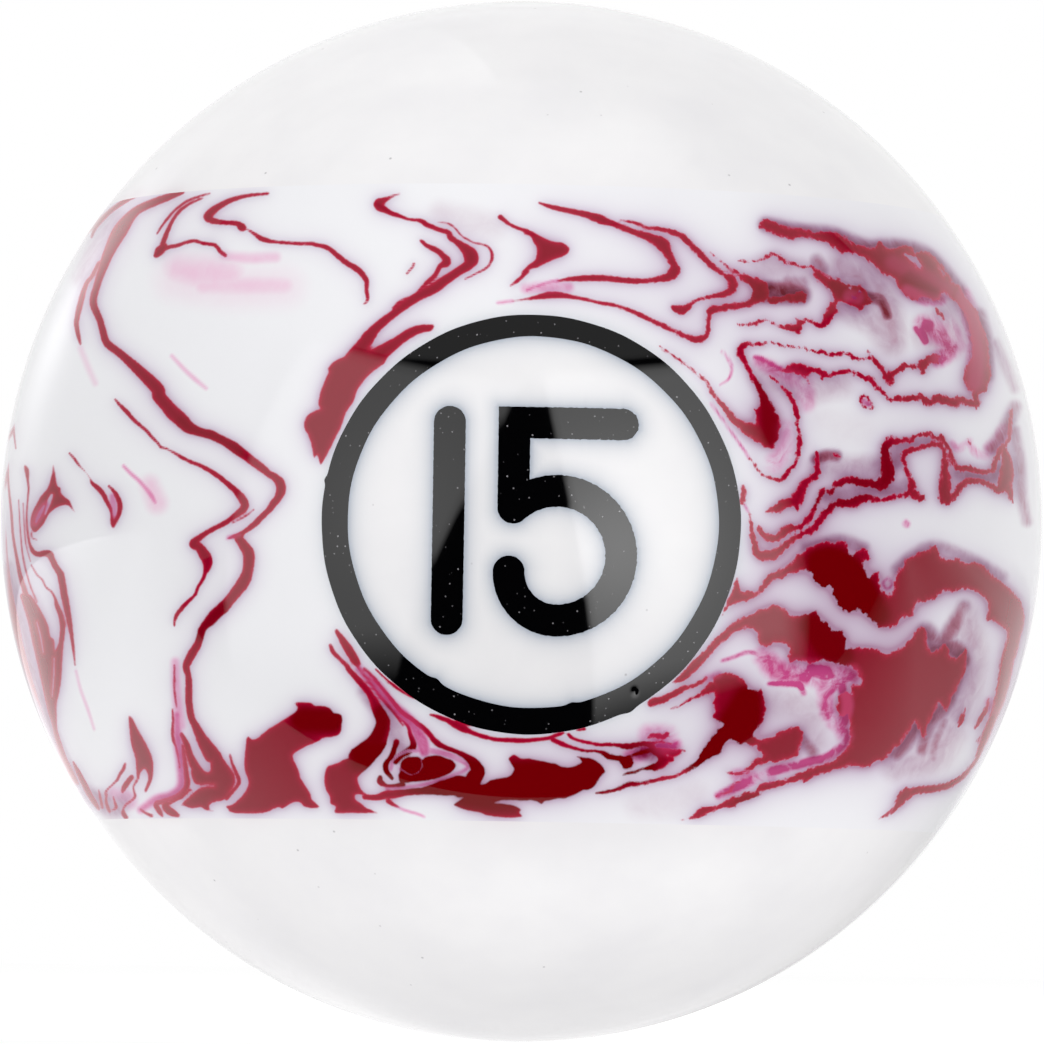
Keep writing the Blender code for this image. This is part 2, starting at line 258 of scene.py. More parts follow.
     (15.25, 4.8, .25), (15.3, 4.4, .3), (15.25, 4, .25), (15.15, 3.6, .2), (15.1, 3.3, .22),
     (14.95, 3.05, .25), (14.7, 2.8, .22), (14.5, 2.5, .25), (14.25, 2.3, .25), (13.95, 2.32, .18),
     (13.6, 2.4, .16), (13.3, 2.5, .12), (13.1, 2.7, .12), (12.9, 2.95, .1), (12.75, 3.2, .08),
     (12.5, 3.5, .05)],
    [(18.62, 6.75, .14), (18.8, 6.92, .14), (19, 6.8, .14), (19.2, 6.5, .14), (19.27, 6.25, .14),
     (19.1, 6.2, .14), (18.85, 6.3, .14), (18.65, 6.5, .14), (18.62, 6.75, .14)],
    # right of the ring
    [(10.4, 7.1, .2), (10.8, 6.65, .22), (11.15, 6.25, .3), (11.4, 5.9, .35), (11.7, 5.55, .4),
     (12, 5.35, .45), (12.4, 5.15, .6), (12.8, 5, .8), (13.2, 4.8, 1)],
    [(16.2, 3.85, .1), (16.2, 3.7, .2), (16.25, 3.3, .25), (16.2, 2.95, .3), (16.25, 2.7, .35),
     (16.05, 2.45, .4), (15.7, 2.25, .4), (15.5, 2, .5), (15.35, 1.7, .5), (15.2, 1.4, .6),
     (15.1, 1.1, .55), (14.8, 1.1, .5), (14.4, .95, .5), (14.1, .75, .5), (13.8, .65, .35),
     (13.6, .55, .2), (13.35, .5, .08)],
    [(15.1, .95, .4), (15.15, .62, .12)],
    [(17.1, 3.75, .12), (17.35, 3.65, .16), (17.5, 3.55, .1)],
    [(19.8, 2, .6), (19.4, 2.05, .45), (19, 2.1, .45), (18.6, 2.15, .45), (18.2, 2.25, .45),
     (17.9, 2.3, .4), (17.5, 2.15, .4), (17.25, 1.95, .35), (17.05, 1.65, .3), (16.8, 1.65, .3),
     (16.55, 1.65, .35), (16.4, 1.4, .25), (16.25, 1.1, .25), (16.1, .7, .25), (15.95, .4, .3),
     (15.75, .15, .35), (15.5, -.1, .3), (15.25, -.3, .25), (15, -.35, .3), (14.75, -.4, .5),
     (14.4, -.6, .5), (14.1, -.85, .4), (13.75, -.95, .4), (13.4, -.85, .35), (13.2, -.65, .3),
     (13.1, -.45, .2), (13, -.25, .08)],
    [(20.3, 1.28, .3), (19.8, 1.2, .25), (19.4, 1.2, .35), (19, 1.3, .4), (18.6, 1.2, .5), (18.2, 1, .55),
     (17.8, 1, .45), (17.4, 1, .4), (17.1, .85, .4), (16.9, .6, .35), (16.6, .4, .4), (16.4, .1, .4),
     (16.2, -.2, .4), (16, -.45, .35), (15.7, -.55, .3), (15.4, -.7, .3), (15.1, -.85, .3),
     (14.7, -1.1, .35), (14.3, -1.45, .45), (13.9, -1.75, .55), (13.5, -1.9, .55), (13.1, -1.85, .5),
     (12.9, -1.6, .4), (12.8, -1.2, .35), (12.7, -.8, .3), (12.65, -.4, .2), (12.6, -.1, .15),
     (12.55, .2, .1), (12.5, .5, .05)],
    [(12.15, 1.95, .15), (12.2, 1.6, .28), (12.15, 1.3, .3), (12.1, 1.1, .2), (12.25, .9, .05)],
    [(19.9, 2.2, .7), (20.1, 2.5, .8), (20.1, 2.9, .75), (20.05, 3.3, .65), (20, 3.6, .55),
     (19.95, 3.9, .45), (20, 4.15, .5), (20.25, 4.4, .5), (20.5, 4.4, .4), (20.8, 4.4, .25),
     (21.1, 4.5, .3), (21.4, 4.45, .25), (21.6, 4.65, .2), (21.9, 4.75, .2), (22.2, 4.75, .2),
     (22.35, 4.85, .2), (22.55, 4.65, .2), (22.8, 4.55, .15), (23, 4.65, .3), (23.15, 4.4, .3),
     (23.35, 4.15, .25), (23.5, 3.9, .25), (23.6, 3.6, .25), (23.7, 3.3, .25), (23.8, 3.05, .3),
     (24.1, 2.9, .35), (24.4, 2.95, .35), (24.8, 2.85, .3), (25.2, 2.72, .28), (25.6, 2.72, .25),
     (25.9, 2.9, .3), (26, 3.3, .3), (26.2, 3.7, .3), (26.3, 4, .3), (26.5, 4.15, .25), (26.7, 4.4, .2),
     (26.8, 4.9, .25), (26.85, 5.5, .2), (26.9, 6.1, .2)],
    [(20.3, 1.28, .3), (20.7, 1.4, .3), (21.1, 1.5, .35), (21.4, 1.7, .45), (21.45, 2, .4),
     (21.3, 2.4, .25), (21.15, 2.8, .25), (21.05, 3.2, .3), (20.95, 3.5, .3), (21.1, 3.8, .3),
     (21.35, 3.95, .3), (21.7, 4, .25), (22, 4.1, .25), (22.3, 4.15, .25), (22.6, 4.25, .3),
     (22.9, 4.2, .25), (23.1, 4.05, .2), (23.2, 3.7, .3), (23.25, 3.3, .35), (23.25, 2.8, .45),
     (23.25, 2.3, .6), (23.25, 1.9, .7), (23.25, 1.5, .7), (23.3, 1.25, .7), (23.6, 1.35, .4),
     (23.9, 1.6, .35), (24.1, 1.95, .35), (24.4, 2.15, .35), (24.8, 2.25, .35), (25.2, 2.2, .3),
     (25.6, 2.05, .28), (25.9, 1.9, .35), (26.1, 1.75, .4), (26.4, 1.9, .6), (26.6, 2.4, .8),
     (26.65, 3, .7), (26.6, 3.5, .5), (26.5, 3.9, .35)],
    [(21.5, 1.6, .5), (21.75, 1.35, .4), (21.95, 1.25, .35), (22.1, 1.4, .15)],
    [(26.7, 1.9, .5), (26.85, 1.4, .3), (26.95, 1.05, .1)],
    [(24.48, 4.5, .1), (24.6, 4.28, .08)],
    [(12.4, -3.95, .3), (12.9, -3.95, .25), (13.2, -3.7, .3), (13.5, -3.3, .4), (13.8, -3, .45),
     (14.2, -2.9, .45), (14.6, -2.65, .5), (15, -2.5, .6), (15.4, -2.3, .8)],
    # lower right
    [(8.3, -8.85, .06), (8.5, -8.75, .2), (8.8, -8.6, .4), (9, -8.4, .5), (9.3, -8.1, .5),
     (9.6, -7.8, .5), (10, -7.4, .45), (10.4, -7, .4), (10.8, -6.55, .4), (11.2, -6.25, .4),
     (11.5, -5.95, .45), (11.9, -5.7, .5), (12.3, -5.5, .55), (12.8, -5.4, .7)],
    [(10.5, -9.1, .6), (10, -9.4, .3), (9.6, -9.6, .2), (9.2, -9.8, .15), (8.8, -10.05, .1),
     (8.4, -10.2, .08), (8.15, -10.25, .05)],
    [(7.05, -10.05, .3), (7.3, -9.85, .45), (7.7, -9.8, .4), (8.1, -9.6, .35), (8.5, -9.4, .35),
     (8.9, -9.15, .3), (9.3, -9.05, .25), (9.7, -8.9, .22), (10, -8.7, .18), (10.2, -8.55, .08)],
    [(11.1, -13.7, .06), (11.5, -13.8, .12), (12, -13.85, .15), (12.3, -13.75, .2), (12.6, -13.5, .3),
     (12.9, -13.25, .35), (13.3, -13.1, .4), (13.6, -12.9, .5)],
    [(10.7, -15.1, .06), (11.1, -14.9, .12), (11.5, -14.75, .18), (11.7, -14.4, .2), (12, -14.3, .12)],
    [(25.65, -9.75, .08), (25.55, -10.2, .2), (25.35, -10.6, .25), (25.1, -11, .25), (24.9, -11.35, .1)],
    [(25.2, -11.8, .06), (25, -12.1, .06)],
    [(4.1, -14.92, .1), (4.6, -14.85, .18), (5.1, -14.75, .2), (5.5, -14.6, .25), (5.9, -14.42, .3),
     (6.4, -14.4, .22), (6.9, -14.32, .2), (7.4, -14.2, .22), (7.9, -14.07, .22), (8.4, -13.97, .2),
     (8.9, -13.75, .2), (9.4, -13.45, .25), (9.8, -13.15, .35), (10.1, -12.8, .5), (10.4, -12.4, .6),
     (10.7, -12, .6), (10.95, -11.6, .5)],
    [(1.75, -12, .3), (1.9, -12.05, .3), (2.2, -12.2, .3), (2.6, -12.35, .22), (3.1, -12.5, .2),
     (3.6, -12.6, .15), (4.1, -12.6, .15), (4.5, -12.7, .25), (4.8, -12.9, .35), (5.2, -12.98, .3),
     (5.6, -13.05, .35), (5.9, -13.2, .4)],
    [(2.6, -11.7, .2), (2.8, -11.9, .2), (3.1, -12, .2), (3.5, -12.1, .2), (4, -12.2, .22),
     (4.4, -12.25, .22), (4.9, -12.25, .2), (5.4, -12.3, .25), (5.9, -12.35, .35), (6.3, -12.25, .25),
     (6.8, -12.2, .3), (7.1, -12.3, .4), (7.3, -12.6, .4), (7.6, -12.75, .45), (7.8, -13, .6),
     (7.8, -13.2, .6), (7.5, -13.4, .5), (7.2, -13.5, .35), (6.8, -13.55, .15), (6.5, -13.65, .12),
     (6.2, -13.75, .15), (5.9, -13.8, .12), (5.6, -13.95, .08)],
    [(8, -12.65, .35), (8.4, -12.75, .35), (8.7, -12.65, .2), (8.95, -12.6, .08)],
    [(8.1, -13.05, .4), (8.3, -13.1, .2)],
    [(6.9, -11.85, .06), (7.2, -11.7, .15), (7.5, -11.75, .3), (7.8, -11.8, .3), (8, -11.65, .2),
     (8.15, -11.6, .08)],
    [(3.05, -11.45, .12), (3.45, -11.4, .18)],
    # below the ring
    [(-5, -10.6, .12), (-4.5, -10.75, .25), (-4, -10.95, .3), (-3.5, -11.2, .45), (-3.2, -11.35, .45),
     (-2.9, -11.5, .3), (-2.4, -11.7, .25), (-1.9, -11.85, .25), (-1.3, -11.97, .25), (-.6, -12, .28),
     (0, -12.02, .27), (.6, -12, .25), (1.1, -11.95, .22), (1.6, -11.85, .2), (2, -11.7, .25),
     (2.3, -11.6, .15)],
    [(-3.6, -11, .2), (-3, -11.15, .15), (-2.6, -11.2, .06)],
    [(-9.5, -8.1, .3), (-9, -8.65, .35), (-8.6, -9.1, .4), (-8.3, -9.5, .4), (-8.1, -9.85, .5),
     (-7.95, -10.2, .6), (-7.75, -10.6, .7), (-7.6, -11, .8), (-7.65, -11.4, .85), (-7.8, -11.8, .95),
     (-8, -12.2, 1.1), (-8.4, -12.6, 1.2), (-8.9, -12.95, 1.2)],
    [(-10.15, -6, .2), (-9.9, -6.4, .35), (-9.5, -7, .5), (-9.2, -7.5, .5), (-9, -7.8, .4)],
    [(-10.5, -6.8, .2), (-10.3, -7.2, .25), (-9.9, -7.6, .22), (-9.5, -8, .25)],
    [(-9, -8, .1), (-8.4, -8.7, .12), (-7.8, -9.5, .12), (-7.3, -10.1, .15), (-6.9, -10.6, .15),
     (-6.5, -10.95, .12), (-6.2, -11.3, .2), (-6.1, -11.7, .25), (-5.95, -12.1, .35), (-5.95, -12.35, .4),
     (-6.2, -12.6, .4), (-6.6, -12.85, .35), (-6.9, -13.2, .3)],
    [(-8.6, -8.05, .15), (-8.1, -8.6, .2), (-7.6, -9.2, .2), (-7.2, -9.7, .22), (-6.8, -10.2, .25),
     (-6.4, -10.6, .25), (-6, -10.85, .25), (-5.7, -11.1, .28), (-5.3, -11.4, .3), (-5, -11.75, .3),
     (-4.7, -12.1, .35), (-4.3, -12.35, .3), (-3.8, -12.55, .25), (-3.3, -12.75, .3), (-2.9, -13, .4),
     (-2.6, -13.3, .6), (-2.4, -13.7, .8), (-2.6, -14.1, .9)],
    [(-8, -8.1, .1), (-7.5, -8.6, .15), (-7, -9, .2), (-6.5, -9.35, .18), (-6, -9.6, .2),
     (-5.6, -9.75, .15)],
    [(-6.85, -12.1, .35), (-6.95, -12.4, .3), (-7.05, -12.7, .3), (-7.2, -13, .3), (-7.4, -13.3, .35),
     (-7.45, -13.6, .3), (-7.3, -13.85, .25), (-7.1, -14.1, .2)],
    [(-7.75, -14.05, .25), (-7.75, -14.3, .35), (-7.4, -14.5, .2), (-7, -14.5, .2), (-6.5, -14.45, .3)],
    [(-8.6, -15.15, .3), (-8, -15.15, .35), (-7.4, -15, .5), (-6.8, -14.95, .45), (-6.2, -14.85, .4),
     (-5.5, -14.8, .4), (-4.8, -14.7, .6), (-4.2, -14.6, .9), (-3.5, -14.5, 1.1), (-2.8, -14.6, 1.1)],
    [(-7.3, -15.35, .3), (-7, -15.55, .2), (-6.7, -15.7, .08)],
    [(-9.3, -7.6, .1), (-8.8, -8.2, .14), (-8.2, -9, .16), (-7.6, -9.8, .16), (-7, -10.5, .14),
     (-6.5, -11.2, .12)],
    [(5.5, -13.05, .12), (6.3, -12.75, .2), (7.2, -12.55, .3), (8, -12.65, .35), (8.9, -12.55, .1)],
    [(6.9, -11.9, .1), (7.5, -11.75, .2), (8.1, -11.8, .06)],
    [(6, -12.45, .08), (6.8, -12.25, .14), (7.6, -12.1, .1), (8.2, -12.2, .05)],
    # lower left
    [(-18.65, -11.7, .25), (-18.4, -12.2, .35), (-18.2, -12.8, .4), (-18, -13.3, .5), (-17.7, -13.8, .6)],
    [(-16, -12.8, .12), (-15.9, -13.2, .15), (-15.7, -13.7, .2), (-15.5, -14.2, .25), (-15.6, -14.5, .2),
     (-15.9, -14.85, .25), (-16.2, -15.2, .3)],
    [(-19.05, -7.9, .1), (-19.05, -8.5, .13), (-19.05, -9.2, .13), (-18.98, -9.8, .12),
     (-18.92, -10.2, .08)],
    [(-19.15, -10.3, .1), (-19.12, -10.9, .15), (-19.15, -11.5, .18), (-19.1, -12, .18),
     (-18.95, -12.4, .12), (-18.85, -12.9, .1), (-18.75, -13.5, .08)],
    [(-18.6, -12.3, .15), (-18.5, -13, .25), (-18.4, -13.8, .3), (-18.35, -14.4, .35),
     (-18.6, -14.85, .3), (-19.1, -15.2, .25), (-19.7, -15.45, .25), (-20.05, -15.65, .3),
     (-19.95, -16, .3), (-19.8, -16.3, .25), (-19.7, -16.5, .1)],
    [(-18.2, -14.8, .3), (-18.7, -15.15, .25), (-19.2, -15.5, .2), (-19.55, -15.75, .35),
     (-19.4, -16.05, .45), (-19.1, -16.3, .4), (-18.85, -16.45, .2)],
    [(-20.9, -16.05, .12), (-20.6, -16.3, .15), (-20.35, -16.45, .2), (-20.25, -16.5, .1)],
    [(-21.75, -13.3, .15), (-21.85, -13.6, .2), (-22.05, -13.9, .18), (-22.2, -14.2, .15),
     (-22.5, -14.5, .12), (-22.8, -14.8, .12), (-22.85, -15, .08)],
    [(-21.4, -14.05, .3), (-21.6, -14.3, .3), (-21.8, -14.6, .3), (-21.9, -14.85, .15)],
    [(-21.1, -14.2, .15), (-21.3, -14.6, .1), (-21.2, -15.1, .15), (-21.4, -15.4, .15),
     (-21.7, -15.7, .15), (-21.85, -16, .12), (-21.85, -16.3, .25), (-21.7, -16.6, .25)],
    [(-22.4, -15.15, .08), (-22.3, -15.6, .14), (-22.25, -15.9, .18), (-22.45, -16.1, .1)],
    [(-23.2, -14.75, .08), (-23.1, -15.3, .15), (-23, -15.9, .15)],
    # left edge
    [(-27.25, 3.05, .1), (-27.15, 2.8, .25), (-27.1, 2.3, .15), (-27.05, 1.8, .12), (-27.1, 1.2, .1),
     (-27.15, .5, .1), (-27.15, 0, .12), (-27.1, -.6, .13), (-27, -1.2, .15), (-26.8, -1.65, .25),
     (-26.5, -1.8, .3), (-26.2, -1.75, .35), (-25.9, -1.8, .4), (-25.75, -2.1, .35), (-25.55, -2.5, .35),
     (-25.3, -2.9, .4), (-25.2, -3.4, .4), (-25.1, -4, .4), (-25, -4.5, .4), (-24.9, -5, .35),
     (-24.8, -5.6, .3), (-24.7, -6.2, .22), (-24.62, -6.8, .18), (-24.55, -7.4, .12), (-24.5, -7.9, .06)],
    [(-26.9, -2.4, .08), (-26.6, -2.9, .1), (-26.3, -3.2, .1), (-26.1, -3.6, .1), (-25.8, -3.85, .12),
     (-25.6, -4.2, .15), (-25.5, -4.6, .25), (-25.3, -5.1, .3), (-25.2, -5.6, .3), (-25.2, -6.2, .3),
     (-25.3, -6.8, .3), (-25.45, -7.3, .5)],
    [(-26.9, -.6, .08), (-26.85, -.9, .08), (-26.6, -1, .08)],
    [(-28.2, 3.4, .1), (-28.15, 2, .1), (-28, .5, .14), (-27.9, -.8, .14), (-27.7, -2, .18),
     (-27.5, -3, .25), (-27.2, -4, .3), (-27, -4.6, .35)],
    [(-28.4, .5, .06), (-28.3, -1, .1), (-28.2, -2.5, .12), (-28, -4, .18), (-27.7, -5.5, .2),
     (-27.4, -7, .2), (-27, -8.5, .2), (-26.6, -9.8, .2), (-26.2, -11, .18), (-25.7, -12.4, .16)],
    [(-27.9, 5.5, .12), (-27.85, 4.8, .1), (-27.75, 4, .06)],
    [(-28.5, 0, .06), (-28.42, -2, .12), (-28.25, -4, .16), (-27.92, -6, .22), (-27.45, -8, .24),
     (-26.85, -10, .22), (-26.15, -12, .18), (-25.3, -13.8, .12)],
    [(-27.6, 1.2, .05), (-27.5, -.5, .08), (-27.35, -2, .1), (-27, -3.4, .1), (-26.6, -4.4, .1)],
    [(-27.35, 1, .05), (-27.3, 0, .07), (-27.2, -1.2, .07), (-26.95, -2.2, .05)],
    [(-22.75, -14.95, .1), (-22.8, -15.4, .15), (-22.7, -15.9, .2), (-22.6, -16.2, .15)],
    [(-24.6, -13.2, .1), (-24.3, -13.8, .25), (-24, -14.4, .3), (-23.7, -15, .3), (-23.4, -15.6, .25),
     (-23.2, -16, .15)],
    # left of the ring
    [(-24.8, 3.75, .12), (-24.5, 3.4, .15), (-24.3, 3.1, .12), (-24, 2.8, .06), (-23.7, 2.4, .05),
     (-23.55, 2.1, .2), (-23.2, 1.8, .28), (-22.95, 1.5, .28), (-22.75, 1.1, .25), (-22.55, .7, .2),
     (-22.48, .3, .15), (-22.45, 0, .25), (-22.4, -.3, .15)],
    [(-22.65, 1.95, .12), (-22.4, 1.7, .2), (-22.2, 1.4, .28), (-22.05, 1, .3), (-22.05, .6, .28),
     (-22.15, .3, .25), (-22.3, 0, .25), (-22.4, -.25, .2)],
    [(-22.3, 6.7, .1), (-22, 6.35, .2), (-21.65, 6, .25), (-21.3, 5.6, .22), (-20.9, 5.25, .2),
     (-20.6, 5, .2), (-20.3, 4.65, .18), (-20, 4.35, .15), (-19.8, 4.1, .15), (-19.5, 4, .12),
     (-19.1, 3.8, .15), (-18.7, 3.55, .2), (-18.2, 3.3, .22), (-17.7, 3.1, .22), (-17.3, 2.9, .25),
     (-16.8, 2.6, .28), (-16.4, 2.3, .3), (-16, 1.95, .32), (-15.7, 1.7, .35), (-15.4, 1.35, .45),
     (-15.2, 1, .5), (-15.25, .7, .45), (-15.6, .4, .35), (-16, .1, .3), (-16.4, -.15, .3),
     (-16.9, -.4, .28), (-17.4, -.7, .3), (-17.8, -1, .4), (-18, -1.25, .5), (-17.7, -1.4, .5),
     (-17.45, -1.75, .6), (-17.25, -2.1, .6), (-17.25, -2.5, .45), (-17.35, -2.8, .25),
     (-17.5, -3.2, .22), (-17.75, -3.6, .2), (-17.9, -4, .18), (-18.2, -4.3, .2), (-18.5, -4.6, .25),
     (-18.75, -4.9, .25), (-19, -5.3, .2), (-19.05, -5.7, .1)],
    [(-14.7, .65, .08), (-15, .4, .1), (-15.4, .15, .1), (-15.9, -.1, .06)],
]

